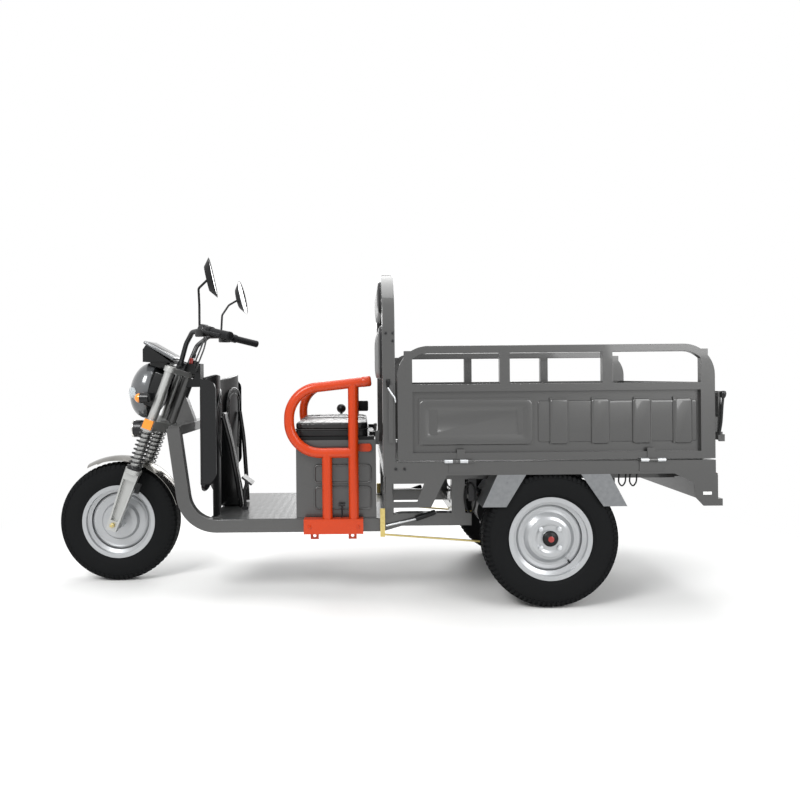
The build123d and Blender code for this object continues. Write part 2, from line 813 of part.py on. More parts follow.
with BuildPart() as bed_frame:
    for side in (-1, 1):
        low_y, high_y = sorted((side * (bed_half - sill_width), side * bed_half))
        ranged_box((bed_front_x, bed_rear_x), (low_y, high_y), (sill_low, bed_floor_z))
        low_y, high_y = sorted((side * (bed_half - sill_width - 5), side * (bed_half - sill_wall)))
        ranged_box(
            (bed_front_x + sill_wall, bed_rear_x - sill_wall),
            (low_y, high_y),
            (sill_low + sill_wall, bed_floor_z - sill_wall),
            Mode.SUBTRACT,
        )
        ranged_box((560, 900), (low_y, high_y), (sill_low - 1, bed_floor_z - sill_wall), Mode.SUBTRACT)
    ranged_box((bed_front_x, bed_front_x + 30), (-bed_half + 5, bed_half - 5), (sill_low, bed_floor_z))
    ranged_box((bed_rear_x - 30, bed_rear_x), (-bed_half + 5, bed_half - 5), (sill_low, bed_floor_z))
    for x in (240, 420, 1040, 1220):
        ranged_box((x - 20, x + 20), (-bed_half + 2, bed_half - 2), (sill_low, floor_sheet_low))
    for x in (600, 730, 860):
        ranged_box((x - 20, x + 20), (-340, 340), (sill_low, floor_sheet_low))
    for side in (-1, 1):
        low_y, high_y = sorted((side * (side_tube_y - 21), side * (side_tube_y + 21)))
        ranged_box((bed_front_x + 20, bed_rear_x - 20), (low_y, high_y), (sill_low, floor_sheet_low))
        for x in side_hinges_x:
            hinge_y = side * (bed_half + hinge_out)
            low_y, high_y = sorted((side * (bed_half - 1), side * (bed_half + 3)))
            ranged_box((x - 48, x + 48), (low_y, high_y), (548, 584))
            for low_x, high_x in ((x - 48, x - 18), (x + 18, x + 48)):
                round_bar((low_x, hinge_y, hinge_z), (high_x, hinge_y, hinge_z), hinge_barrel_radius)
                low_y, high_y = sorted((side * (bed_half - 1), side * (bed_half + 4)))
                ranged_box((low_x, high_x), (low_y, high_y), (580, bed_floor_z - 1))
            round_bar((x - 20, hinge_y, hinge_z), (x + 20, hinge_y, hinge_z), hinge_pin_radius)
    rear_hinge_x = bed_rear_x + hinge_out
    for y in rear_hinges_y:
        ranged_box((bed_rear_x - 1, bed_rear_x + 3), (y - 48, y + 48), (548, 584))
        for low_y, high_y in ((y - 48, y - 18), (y + 18, y + 48)):
            round_bar((rear_hinge_x, low_y, hinge_z), (rear_hinge_x, high_y, hinge_z), hinge_barrel_radius)
            ranged_box((bed_rear_x - 1, bed_rear_x + 4), (low_y, high_y), (580, bed_floor_z - 1))
        round_bar((rear_hinge_x, y - 20, hinge_z), (rear_hinge_x, y + 20, hinge_z), hinge_pin_radius)
keep("bed_frame", bed_frame.part)

with BuildPart() as bed_floor:
    ranged_box(
        (bed_front_x + 30, bed_rear_x - 30),
        (-bed_half + sill_width, bed_half - sill_width),
        (floor_sheet_low, floor_sheet_low + sheet),
    )
keep("bed_floor", bed_floor.part)

board_front = 98
board_rear = 114
with BuildPart() as front_board:
    half = hoop_y - hoop_width / 2
    ranged_box((board_front, board_rear), (-half, half), (bed_floor_z, gate_board_top))
    ranged_box(
        (board_front - 1, board_rear + 1), (-half + 30, half - 30), (bed_floor_z + 30, 868), Mode.SUBTRACT
    )
    ranged_box((104, 104 + sheet), (-half + 20, half - 20), (bed_floor_z + 20, 880))
    for y in (-210, 0, 210):
        ranged_box((board_front, board_rear), (y - 15, y + 15), (bed_floor_z + 20, 880))
keep("front_board", front_board.part)

# Side gates. The outline is an arch of flat tube with a pressed panel below its windows.
post_half = 15
gate_low = bed_floor_z + 6
gate_mid_low = 869
gate_depth = gate_tube
panel_bands = ((726, 802), (893, 966), (1060, 1132), (1217, 1293))


def build_side_gate(side):
    """One side gate: tubes, pressed panel, hinge knuckles and the latch on its rear post."""
    y = side * (bed_half - gate_depth / 2)
    low_y, high_y = sorted((side * (bed_half - gate_depth), side * bed_half))
    with BuildPart() as gate:
        arch = [
            (gate_front_x + post_half, y, gate_low),
            (gate_front_x + post_half, y, gate_rail_top - post_half),
            (gate_rear_x - post_half, y, gate_rail_top - post_half),
            (gate_rear_x - post_half, y, gate_low),
        ]
        flat_tube(arch, gate_bend, (0, 1, 0), gate_depth, gate_rail_tube, 2)
        ranged_box((gate_front_x + 20, gate_rear_x - 20), (low_y, high_y), (gate_low, gate_low + 30))
        ranged_box((gate_front_x + 20, gate_rear_x - 20), (low_y, high_y), (gate_mid_low, gate_board_top))
        for low_x, high_x in ((148, 180), (1323, 1352)):
            ranged_box((low_x, high_x), (low_y, high_y), (gate_low, gate_rail_top - 20))
        for x in (547, 954):
            ranged_box((x - 20, x + 20), (low_y, high_y), (gate_mid_low, gate_rail_top - 20))
        for x in side_hinges_x:
            hinge_y = side * (bed_half + hinge_out)
            a, b = sorted((side * (bed_half - 1), side * (bed_half + 3)))
            ranged_box((x - 16, x + 16), (a, b), (gate_low, gate_low + 44))
            round_bar((x - 17, hinge_y, hinge_z), (x + 17, hinge_y, hinge_z), hinge_barrel_radius)
            round_bar(
                (x - 18, hinge_y, hinge_z), (x + 18, hinge_y, hinge_z), hinge_pin_radius + pin_fit, Mode.SUBTRACT
            )
        ranged_box((gate_rear_x - 1, 1392), (low_y, high_y), (700, 760))
        ranged_box((1391, 1402), (low_y, high_y), (668, 862))
        round_bar((1401, side * 459, 850), (1401, side * 476, 850), 12)
        round_bar((1406, side * 467, 672), (1406, side * 467, 700), 8)
        ranged_box((1400, 1420), (min(side * 461, side * 473), max(side * 461, side * 473)), (662, 690))
        inner = bed_half - 18
        a, b = sorted((side * inner, side * (inner + sheet)))
        ranged_box((170, 1333), (a, b), (gate_low + 20, gate_mid_low + 10))
        a, b = sorted((side * inner, side * (inner + 9)))
        ranged_box((205, 660), (a, b), (658, 841))
        a, b = sorted((side * (inner + 5), side * (inner + 10)))
        ranged_box((279, 596), (a, b), (668, 815), Mode.SUBTRACT)
        a, b = sorted((side * inner, side * (inner + 9)))
        for low_x, high_x in panel_bands:
            ranged_box((low_x, high_x), (a, b), (658, 841))
    return gate.part


for side, name in ((-1, "left"), (1, "right")):
    keep(f"side_gate_{name}", build_side_gate(side))

tailgate_half = bed_half - gate_depth - moving_gap
tailgate_front = bed_rear_x - gate_depth
with BuildPart() as tailgate:
    span = (tailgate_front, bed_rear_x)
    ranged_box(span, (-tailgate_half, tailgate_half), (gate_low, gate_low + 30))
    ranged_box(span, (-tailgate_half, tailgate_half), (gate_mid_low, gate_board_top))
    for y in (-tailgate_half + 15, tailgate_half - 15):
        ranged_box(span, (y - 15, y + 15), (gate_low, gate_board_top))
    for y in rear_hinges_y:
        ranged_box((bed_rear_x - 1, bed_rear_x + 3), (y - 16, y + 16), (gate_low, gate_low + 44))
        round_bar((rear_hinge_x, y - 17, hinge_z), (rear_hinge_x, y + 17, hinge_z), hinge_barrel_radius)
        round_bar(
            (rear_hinge_x, y - 18, hinge_z), (rear_hinge_x, y + 18, hinge_z), hinge_pin_radius + pin_fit, Mode.SUBTRACT
        )
    ranged_box(
        (tailgate_front + 7, tailgate_front + 7 + sheet),
        (-tailgate_half + 20, tailgate_half - 20),
        (gate_low + 20, gate_mid_low + 10),
    )
    for y in (-330, -198, -66, 66, 198, 330):
        ranged_box((tailgate_front + 7, tailgate_front + 16), (y - 38, y + 38), (658, 841))
keep("tailgate", tailgate.part)

# Sheet skirts under the bed
skirt_outer = bed_half
with BuildPart() as side_skirts:
    for side in (-1, 1):
        a, b = sorted((side * (skirt_outer - sheet), side * skirt_outer))
        side_plate([(72, sill_low), (314, sill_low), (250, 410), (72, 410)], a, b)
        window = [(96, 505), (223, 505), (196, 434), (96, 434)]
        side_plate(window, a - 1, b + 1, Mode.SUBTRACT)
keep("side_skirts", side_skirts.part)

with BuildPart() as rear_mudguards:
    for side in (-1, 1):
        a, b = sorted((side * (skirt_outer - sheet), side * skirt_outer))
        side_plate([(517, sill_low), (628, sill_low), (549, 409), (457, 409)], a, b)
        side_plate([(846, sill_low), (958, sill_low), (1025, 409), (934, 409)], a, b)
        a, b = sorted((side * 345, side * skirt_outer))
        side_plate([(457, 409), (517, sill_low), (514, sill_low), (454, 409)], a, b)
        side_plate([(1025, 409), (958, sill_low), (961, sill_low), (1028, 409)], a, b)
keep("rear_mudguards", rear_mudguards.part)

with BuildPart() as rear_bumper:
    for side in (-1, 1):
        a, b = sorted((side * (skirt_outer - sheet), side * skirt_outer))
        outline = [
            (1216, sill_low), (1380, sill_low), (1388, 530), (1388, 435), (1406, 435), (1406, 408), (1330, 408),
            (1300, 440), (1291, 500),
        ]
        side_plate(outline, a, b)
    ranged_box((1384, 1387), (-bed_half, bed_half), (435, sill_low))
    ranged_box((1386, 1406), (-bed_half, bed_half), (408, 436))
    for side in (-1, 1):
        a, b = sorted((side * 290, side * 304))
        ranged_box((1300, 1385), (a, b), (500, sill_low))
    ranged_box((1290, 1300), (-304, 304), (500, sill_low))
keep("rear_bumper", rear_bumper.part)

with BuildPart() as tail_lamps:
    for side in (-1, 1):
        a, b = sorted((side * 350, side * 450))
        ranged_box((1387, 1398), (a, b), (453, 535))
keep("tail_lamps", tail_lamps.part)

# Rear axle, springs and drive
axle_tube_radius = 30
spring_low = rear_axle_z + axle_tube_radius
spring_ends = (440, 1021)
eye_z = 420
with BuildPart() as rear_axle:
    round_bar((rear_axle_x, -350, rear_axle_z), (rear_axle_x, 350, rear_axle_z), axle_tube_radius)
    for side in (-1, 1):
        tip = side * (track / 2 + stub_end - 4.5)
        round_bar((rear_axle_x, side * 340, rear_axle_z), (rear_axle_x, tip, rear_axle_z), stub_radius)
        round_bar((rear_axle_x, side * 347, rear_axle_z), (rear_axle_x, side * 357, rear_axle_z), 82)
        a, b = sorted((side * (side_tube_y - 28), side * (side_tube_y + 28)))
        ranged_box((rear_axle_x - 45, rear_axle_x + 45), (a, b), (spring_low - 12, spring_low))
    round_bar((rear_axle_x, -70, rear_axle_z), (rear_axle_x, 70, rear_axle_z), 92)
keep("rear_axle", rear_axle.part)

with BuildPart() as drive_motor:
    round_bar((rear_axle_x - 130, 70, rear_axle_z + 8), (rear_axle_x - 130, 230, rear_axle_z + 8), 76)
    ranged_box((rear_axle_x - 190, rear_axle_x - 20), (70, 92), (rear_axle_z - 50, rear_axle_z + 66))
    round_bar((rear_axle_x, 60, rear_axle_z), (rear_axle_x, 100, rear_axle_z), axle_tube_radius + 0.1, Mode.SUBTRACT)
keep("drive_motor", drive_motor.part)

with BuildPart() as leaf_springs:
    for side in (-1, 1):
        y = side * side_tube_y
        a, b = y - 22, y + 22
        half_span = (spring_ends[1] - spring_ends[0]) / 2
        centre_x = rear_axle_x
        rise = eye_z - spring_low - 4
        for leaf, reach in ((0, 1.0), (1, 0.78), (2, 0.56)):
            line = []
            for step in range(13):
                t = -1 + step / 6
                line.append((centre_x + t * reach * half_span, spring_low + 0.5 + 8 * (3 - leaf) + rise * (t * reach) ** 2 * 0.86))
            side_plate(bent_sheet(line, 8), a, b)
        ranged_box((centre_x - 35, centre_x + 35), (a, b), (spring_low, spring_low + 24))
        for x in spring_ends:
            round_bar((x, a, eye_z), (x, b, eye_z), 16)
        for x, top_x in ((spring_ends[0], spring_ends[0]), (spring_ends[1], spring_ends[1])):
            for plate_y in (a - 6, b):
                ranged_box((x - 16, x + 16), (plate_y, plate_y + 6), (eye_z - 14, beam_low))
keep("leaf_springs", leaf_springs.part)

with BuildPart() as brake_linkage:
    for side in (-1, 1):
        y = side * 334
        ranged_box((52, 72), (min(y - 3, y + 3), max(y - 3, y + 3)), (262, 380))
        round_bar((62, side * 318, 340), (62, y, 340), 9)
        round_bar((62, y, 272), (686, y, 222), 4)
        a, b = sorted((side * 331, side * 347))
        ranged_box((680, 696), (a, b), (206, 236))
keep("brake_linkage", brake_linkage.part)

for name, part in pieces.items():
    if len(part.solids()) != 1 or not part.is_valid:
        print(name, "solids", len(part.solids()), "valid", part.is_valid)
os.makedirs("parts", exist_ok=True)
for name, part in pieces.items():
    export_step(part, f"parts/{name}.step")
print(len(pieces), "pieces")
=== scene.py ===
# %% [markdown]
# An electric cargo tricycle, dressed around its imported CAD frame.
# The frame brings every structural piece at its true place. This lesson sets the camera, mixes
# the finishes, adds tread, bolts, springs, padding and trim, and lights the studio last.

# %% Load the frame
import math

import bpy
from mathutils import Matrix, Vector


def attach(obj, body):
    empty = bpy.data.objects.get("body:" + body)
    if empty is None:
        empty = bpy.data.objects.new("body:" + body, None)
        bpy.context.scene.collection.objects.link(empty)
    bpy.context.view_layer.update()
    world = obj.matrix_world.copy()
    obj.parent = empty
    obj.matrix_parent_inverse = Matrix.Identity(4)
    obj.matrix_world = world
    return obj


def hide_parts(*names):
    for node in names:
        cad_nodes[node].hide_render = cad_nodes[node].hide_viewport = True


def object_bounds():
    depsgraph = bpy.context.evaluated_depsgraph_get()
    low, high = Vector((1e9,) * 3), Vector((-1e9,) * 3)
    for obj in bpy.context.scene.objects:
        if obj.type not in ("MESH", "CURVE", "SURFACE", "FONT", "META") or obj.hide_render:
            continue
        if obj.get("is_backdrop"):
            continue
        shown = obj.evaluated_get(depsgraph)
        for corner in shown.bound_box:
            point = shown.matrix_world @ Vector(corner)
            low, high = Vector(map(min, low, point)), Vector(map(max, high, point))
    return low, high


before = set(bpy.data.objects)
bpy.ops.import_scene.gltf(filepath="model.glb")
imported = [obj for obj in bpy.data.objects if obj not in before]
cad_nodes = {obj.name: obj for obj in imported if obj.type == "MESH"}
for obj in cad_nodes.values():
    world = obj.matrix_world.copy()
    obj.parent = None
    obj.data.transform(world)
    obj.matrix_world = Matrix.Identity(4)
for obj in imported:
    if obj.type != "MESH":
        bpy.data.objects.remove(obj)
cad_low, cad_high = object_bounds()
print("CAD box", [round(v, 3) for v in cad_low], [round(v, 3) for v in cad_high])

# %% [markdown]
# The photograph is taken square from the left side, from a little over three metres away.
# The view point was worked out from the wheel rims, which are a standard size.

# %% Camera
PHOTO_LENS = 30.42
PHOTO_SENSOR = 36.0
PHOTO_SHIFT = (0.0475, -0.0288)
CAMERA_SPOT = (-0.019, -3.158, 0.930)
CAMERA_ROLL = -0.5

camera_data = bpy.data.cameras.new("photo_camera")
camera_data.lens = PHOTO_LENS
camera_data.sensor_width = PHOTO_SENSOR
camera_data.shift_x, camera_data.shift_y = PHOTO_SHIFT
camera = bpy.data.objects.new("photo_camera", camera_data)
bpy.context.scene.collection.objects.link(camera)
camera.matrix_world = (
    Matrix.Translation(CAMERA_SPOT)
    @ Matrix.Rotation(math.radians(90), 4, "X")
    @ Matrix.Rotation(math.radians(CAMERA_ROLL), 4, "Z")
)
bpy.context.scene.camera = camera

# %% Colour and node helpers
scene = bpy.context.scene
scene.view_settings.view_transform = "Standard"


def hex_colour(code):
    """Turns an sRGB hex code into the linear colour a shader reads."""
    channels = [int(code[i : i + 2], 16) / 255 for i in (1, 3, 5)]
    linear = [c / 12.92 if c <= 0.04045 else ((c + 0.055) / 1.055) ** 2.4 for c in channels]
    return (*linear, 1.0)


def add_node(material, kind, sockets=None, **settings):
    """Adds one shader node, sets its fields, and fills or links its inputs."""
    node = material.node_tree.nodes.new(kind)
    for field, value in settings.items():
        setattr(node, field, value)
    for socket, value in (sockets or {}).items():
        if isinstance(value, bpy.types.NodeSocket):
            material.node_tree.links.new(value, node.inputs[socket])
        else:
            node.inputs[socket].default_value = value
    return node


def new_finish(name, colour, roughness, metallic=0.0, **extra):
    """Starts a material from its colour, roughness and metallic values."""
    material = bpy.data.materials.new(name)
    material.use_nodes = True
    shader = material.node_tree.nodes["Principled BSDF"]
    shader.inputs["Base Color"].default_value = hex_colour(colour)
    shader.inputs["Roughness"].default_value = roughness
    shader.inputs["Metallic"].default_value = metallic
    for socket, value in extra.items():
        shader.inputs[socket.replace("_", " ")].default_value = value
    return material, shader


def grain(material, shader, size_mm, colours=None, roughness=None, bump_mm=0.0, detail=3.0):
    """Varies a finish with noise of a real size: colour, roughness and height."""
    link = material.node_tree.links.new
    place = add_node(material, "ShaderNodeTexCoord")
    noise = add_node(
        material,
        "ShaderNodeTexNoise",
        {"Vector": place.outputs["Object"], "Scale": 1000.0 / size_mm, "Detail": detail},
    )
    height = noise.outputs["Fac"]
    if colours:
        blend = add_node(material, "ShaderNodeMix", {"Factor": height}, data_type="RGBA")
        low_colour, high_colour = [s for s in blend.inputs if s.type == "RGBA"]
        low_colour.default_value = hex_colour(colours[0])
        high_colour.default_value = hex_colour(colours[1])
        colour_out = next(s for s in blend.outputs if s.type == "RGBA")
        link(colour_out, shader.inputs["Base Color"])
    if roughness:
        spread = add_node(material, "ShaderNodeMapRange", {"Value": height})
        spread.inputs["To Min"].default_value = roughness[0]
        spread.inputs["To Max"].default_value = roughness[1]
        link(spread.outputs["Result"], shader.inputs["Roughness"])
    if bump_mm:
        relief = {"Height": height, "Strength": 0.6, "Distance": bump_mm / 1000}
        bump = add_node(material, "ShaderNodeBump", relief)
        link(bump.outputs["Normal"], shader.inputs["Normal"])
    return noise


# %% [markdown]
# The frame and the bed are pressed steel under a dark grey metallic enamel with a clear coat.
# Metallic enamel scatters light from fine flakes, so a little metallic and a soft speckle do it.

# %% Enamelled steel
grey_enamel, shader = new_finish(
    "metallic_grey_enamel", "#484848", 0.27, 0.55, Coat_Weight=0.7, Coat_Roughness=0.06
)
grain(grey_enamel, shader, 2.2, ("#434343", "#4f4f4e"), (0.3, 0.4), 0.02)

orange_enamel, shader = new_finish(
    "orange_powder_enamel", "#b83500", 0.32, 0.0,
    Specular_IOR_Level=0.3, Coat_Weight=0.2, Coat_Roughness=0.1,
)
grain(orange_enamel, shader, 6.0, ("#b13100", "#bf3a03"), (0.27, 0.36), 0.03)

black_enamel, shader = new_finish(
    "black_gloss_enamel", "#0c0d0e", 0.3, 0.0,
    Specular_IOR_Level=0.35, Coat_Weight=0.15, Coat_Roughness=0.12,
)
grain(black_enamel, shader, 8.0, ("#0f1011", "#17181a"), (0.25, 0.38), 0.02)

silver_enamel, shader = new_finish(
    "silver_wheel_enamel", "#a6a8aa", 0.3, 0.55, Coat_Weight=0.5, Coat_Roughness=0.12
)
grain(silver_enamel, shader, 3.0, ("#9fa1a3", "#b0b2b4"), (0.26, 0.36), 0.02)

# %% [markdown]
# The footboard is the same enamel over a rolled stud pattern, 31 mm from stud to stud.

# %% Tread plate
STUD_SCALE = 10.0
STUD_HEIGHT = 0.0012

tread_plate, shader = new_finish(
    "studded_tread_plate", "#484949", 0.34, 0.4, Coat_Weight=0.6, Coat_Roughness=0.1
)
plate_place = add_node(tread_plate, "ShaderNodeTexCoord").outputs["Object"]
waves = {"Vector": plate_place, "Scale": STUD_SCALE}
stud_rows = [
    add_node(tread_plate, "ShaderNodeTexWave", waves, bands_direction=way).outputs["Fac"]
    for way in ("X", "Y")
]
studs = add_node(
    tread_plate, "ShaderNodeMath", {0: stud_rows[0], 1: stud_rows[1]}, operation="MULTIPLY"
)
stud_bump = add_node(
    tread_plate,
    "ShaderNodeBump",
    {"Height": studs.outputs[0], "Strength": 0.7, "Distance": STUD_HEIGHT},
)
tread_plate.node_tree.links.new(stud_bump.outputs["Normal"], shader.inputs["Normal"])

# %% [markdown]
# Bare metals: cast aluminium fork legs, a chromed mudguard, zinc-plated rods and dark spring steel.

# %% Bare and plated metal
cast_aluminium, shader = new_finish("satin_cast_aluminium", "#b4b5b3", 0.38, 0.85)
grain(cast_aluminium, shader, 1.6, ("#a9aaa8", "#bfc0be"), (0.32, 0.46), 0.05)

chrome_plate, shader = new_finish("chrome_plate", "#e4e3e0", 0.08, 1.0)
grain(chrome_plate, shader, 60.0, None, (0.05, 0.12), 0.0)

# The mudguard chrome is darkened and mottled with broad light and dark patches. These are painted
# reflections of dark surroundings, on top of the chrome's own colour.
reflection_painted_chrome, shader = new_finish("chrome_with_painted_reflection", "#8f8d89", 0.2, 1.0)
grain(reflection_painted_chrome, shader, 80.0, ("#75736f", "#a8a6a2"), (0.14, 0.26), 0.02)

brushed_steel, shader = new_finish("brushed_mudguard_steel", "#7f8182", 0.3, 0.85)
grain(brushed_steel, shader, 14.0, ("#75777a", "#8b8d8e"), (0.24, 0.38), 0.02)

zinc_plate, shader = new_finish("yellow_zinc_plate", "#c9b36a", 0.35, 0.9)
grain(zinc_plate, shader, 12.0, ("#b59f55", "#dccb8d"), (0.28, 0.45), 0.02)

spring_steel, shader = new_finish("dark_spring_steel", "#3a3a3b", 0.45, 0.6)
grain(spring_steel, shader, 7.0, ("#323233", "#464647"), (0.38, 0.55), 0.04)

# %% [markdown]
# Moulded plastics and rubber. The mouldings are ABS, and grips and tyres are matt rubber.

# %% Plastic, rubber and glass
black_abs, shader = new_finish("black_abs_moulding", "#0b0c0d", 0.38, 0.0, Specular_IOR_Level=0.25)
grain(black_abs, shader, 1.4, ("#0b0c0d", "#121314"), (0.3, 0.44), 0.03)

grey_abs, shader = new_finish(
    "grey_abs_moulding", "#585a5c", 0.2, 0.25, Coat_Weight=0.6, Coat_Roughness=0.06
)
grain(grey_abs, shader, 2.5, ("#525456", "#5f6163"), (0.17, 0.25), 0.01)

tyre_rubber, shader = new_finish("tyre_rubber", "#0c0d0e", 0.74, 0.0, Specular_IOR_Level=0.12)
grain(tyre_rubber, shader, 3.5, ("#0b0c0d", "#131415"), (0.6, 0.85), 0.12, 6.0)

grip_rubber, shader = new_finish("grip_rubber", "#101112", 0.6, 0.0, Specular_IOR_Level=0.2)
grain(grip_rubber, shader, 2.0, ("#131415", "#1c1d1f"), (0.5, 0.7), 0.08)

clear_lens, shader = new_finish(
    "clear_polycarbonate", "#f2f6f8", 0.06, 0.0, Transmission_Weight=0.85, IOR=1.45
)
grain(clear_lens, shader, 40.0, None, (0.03, 0.09), 0.0)

amber_lens, shader = new_finish(
    "amber_acrylic", "#f08c12", 0.14, 0.0, Coat_Weight=0.7, Coat_Roughness=0.05
)
grain(amber_lens, shader, 5.0, ("#ea7d08", "#fb9e26"), (0.1, 0.2), 0.06)

red_lens, shader = new_finish(
    "red_acrylic", "#8e1210", 0.14, 0.0, Coat_Weight=0.7, Coat_Roughness=0.05
)
grain(red_lens, shader, 5.0, ("#7d0d0c", "#a51a16"), (0.1, 0.2), 0.06)

mirror_glass, shader = new_finish("silvered_mirror_glass", "#f0f1f2", 0.03, 1.0)
grain(mirror_glass, shader, 90.0, None, (0.02, 0.05), 0.0)

# %% Dress the CAD nodes
NODE_FINISHES = {
    "front_rim": silver_enamel,
    "floor_plate": tread_plate,
    "rear_rim_left": silver_enamel,
    "rear_rim_right": silver_enamel,
    "front_tyre": tyre_rubber,
    "rear_tyre_left": tyre_rubber,
    "rear_tyre_right": tyre_rubber,
    "fork_yokes": cast_aluminium,
    "fork_legs": cast_aluminium,
    "fork_springs": black_enamel,
    "front_mudguard": reflection_painted_chrome,
    "headlamp_shell": grey_abs,
    "headlamp_lens": clear_lens,
    "turn_signals": amber_lens,
    "horn": black_enamel,
    "instrument_panel": black_abs,
    "steering_cover": black_abs,
    "handlebar": black_enamel,
    "hand_controls": grip_rubber,
    "mirrors": black_abs,
    "leg_shield": black_abs,
    "brake_pedal": black_enamel,
    "battery_pack": black_abs,
    "seat_base": black_abs,
    "seat_cushion": black_abs,
    "side_guards": orange_enamel,
    "hand_lever": black_abs,
    "backrest_pads": black_abs,
    "tail_lamps": red_lens,
    "rear_mudguards": brushed_steel,
    "rear_axle": black_enamel,
    "drive_motor": black_enamel,
    "leaf_springs": spring_steel,
    "brake_linkage": zinc_plate,
}
for node_name, node_object in cad_nodes.items():
    finish = NODE_FINISHES.get(node_name, grey_enamel)
    if node_object.material_slots:
        for material_slot in node_object.material_slots:
            material_slot.material = finish
    else:
        node_object.data.materials.append(finish)
print("dressed", len(cad_nodes), "nodes")

# %% [markdown]
# Every solid piece below starts as a simple primitive and is shaped from there. A few helpers
# keep that short: one for blocks, one for turned pieces, one for bent rods, and one that settles
# a finished piece, which bakes its place into its mesh and lets it ride with its body.

# %% Modelling helpers
MM = 0.001
SIDES = ((-1, "left"), (1, "right"))


def pick(obj):
    """Makes one object the only selected and active one."""
    bpy.ops.object.select_all(action="DESELECT")
    obj.select_set(True)
    bpy.context.view_layer.objects.active = obj


def edit(obj, mode="VERT"):
    """Opens one object in edit mode with everything selected."""
    pick(obj)
    bpy.ops.object.mode_set(mode="EDIT")
    bpy.ops.mesh.select_mode(type=mode)
    bpy.ops.mesh.select_all(action="SELECT")


def settle(obj, name, body, finish, smooth=35.0):
    """Names a finished piece, bakes its place, gives it its material and its body."""
    pick(obj)
    bpy.ops.object.transform_apply(location=True, rotation=True, scale=True)
    bpy.ops.object.shade_smooth_by_angle(angle=math.radians(smooth))
    obj.name = name
    obj.data.materials.clear()
    obj.data.materials.append(finish)
    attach(obj, body)
    return obj


def apply_modifier(obj, kind, **fields):
    """Adds one modifier, sets its fields and applies it."""
    pick(obj)
    modifier = obj.modifiers.new(kind.lower(), kind)
    for field, value in fields.items():
        setattr(modifier, field, value)
    bpy.ops.object.modifier_apply(modifier=modifier.name)


def select_where(obj, test, kind="edges"):
    """Selects an object's edges, or its polygons, whose points pass a test, and opens edit mode."""
    edit(obj, "EDGE" if kind == "edges" else "FACE")
    bpy.ops.mesh.select_all(action="DESELECT")
    bpy.ops.object.mode_set(mode="OBJECT")
    mesh = obj.data
    for item in getattr(mesh, kind):
        item.select = test([mesh.vertices[i].co for i in item.vertices])
    bpy.ops.object.mode_set(mode="EDIT")


def block(low, high, bevel=2.0, segments=2, turn=(0, 0, 0)):
    """A block between two corners in millimetres, with its edges rounded."""
    centre = [(a + b) / 2 * MM for a, b in zip(low, high)]
    bpy.ops.mesh.primitive_cube_add(size=1, location=centre)
    obj = bpy.context.active_object
    obj.scale = [(b - a) * MM for a, b in zip(low, high)]
    bpy.ops.object.transform_apply(location=False, rotation=False, scale=True)
    edit(obj, "EDGE")
    bpy.ops.mesh.bevel(offset=bevel * MM, segments=segments)
    bpy.ops.object.mode_set(mode="OBJECT")
    obj.rotation_euler = [math.radians(a) for a in turn]
    return obj


def turned_piece(points, steps=48, place=(0, 0, 0), axis=(0, 0, 1)):
    """Spins an outline of (radius, height) points in millimetres about an axis at a place."""
    bpy.ops.mesh.primitive_plane_add(size=0.01)
    obj = bpy.context.active_object
    edit(obj)
    bpy.ops.mesh.merge(type="CENTER")
    radius, height = points[0]
    bpy.ops.transform.translate(value=(radius * MM, 0, height * MM))
    for start, end in zip(points, points[1:]):
        step = ((end[0] - start[0]) * MM, 0, (end[1] - start[1]) * MM)
        bpy.ops.mesh.extrude_region_move(TRANSFORM_OT_translate={"value": step})
    bpy.ops.mesh.select_all(action="SELECT")
    bpy.ops.mesh.spin(steps=steps, angle=math.tau, center=(0, 0, 0), axis=(0, 0, 1))
    bpy.ops.mesh.select_all(action="SELECT")
    bpy.ops.mesh.remove_doubles(threshold=0.00005)
    bpy.ops.mesh.normals_make_consistent(inside=False)
    bpy.ops.object.mode_set(mode="OBJECT")
    obj.location = [v * MM for v in place]
    obj.rotation_euler = Vector(axis).to_track_quat("Z", "Y").to_euler()
    pick(obj)
    bpy.ops.object.transform_apply(location=True, rotation=True, scale=True)
    return obj


def bent_rod(points, radius, bend=8.0, sides=4):
    """A round rod in millimetres through points, its corners rounded."""
    bpy.ops.curve.primitive_nurbs_path_add()
    obj = bpy.context.active_object
    curve = obj.data
    curve.splines.clear()
    spline = curve.splines.new("POLY")
    rounded = [Vector(points[0])]
    for before, corner, after in zip(points, points[1:], points[2:]):
        corner = Vector(corner)
        first = corner + (Vector(before) - corner).normalized() * bend
        last = corner + (Vector(after) - corner).normalized() * bend
        for k in range(5):
            t = k / 4
            rounded.append(first * (1 - t) ** 2 + corner * 2 * t * (1 - t) + last * t * t)
    rounded.append(Vector(points[-1]))
    spline.points.add(len(rounded) - 1)
    for place, point in zip(rounded, spline.points):
        point.co = (*(place * MM), 1)
    curve.dimensions = "3D"
    curve.bevel_depth = radius * MM
    curve.bevel_resolution = sides
    curve.use_fill_caps = True
    pick(obj)
    bpy.ops.object.convert(target="MESH")
    return bpy.context.active_object


def joined(pieces):
    """Joins several pieces into the first one."""
    pick(pieces[0])
    for piece in pieces[1:]:
        piece.select_set(True)
    bpy.ops.object.join()
    return bpy.context.active_object


print("helpers ready")

# %% [markdown]
# The tyres get their real carcass and tread. The carcass is spun, then every second column of
# faces on the shoulders and the crown is pushed out, which leaves the lugs standing.

# %% Tyres with tread
FRONT_AXLE = (-1147.5, 272.5)
REAR_AXLE = (730.5, 275.0)
REAR_WHEEL_PLANE = 415
BEAD_RADIUS = 152.9
BEAD_HALF_WIDTH = 37.7

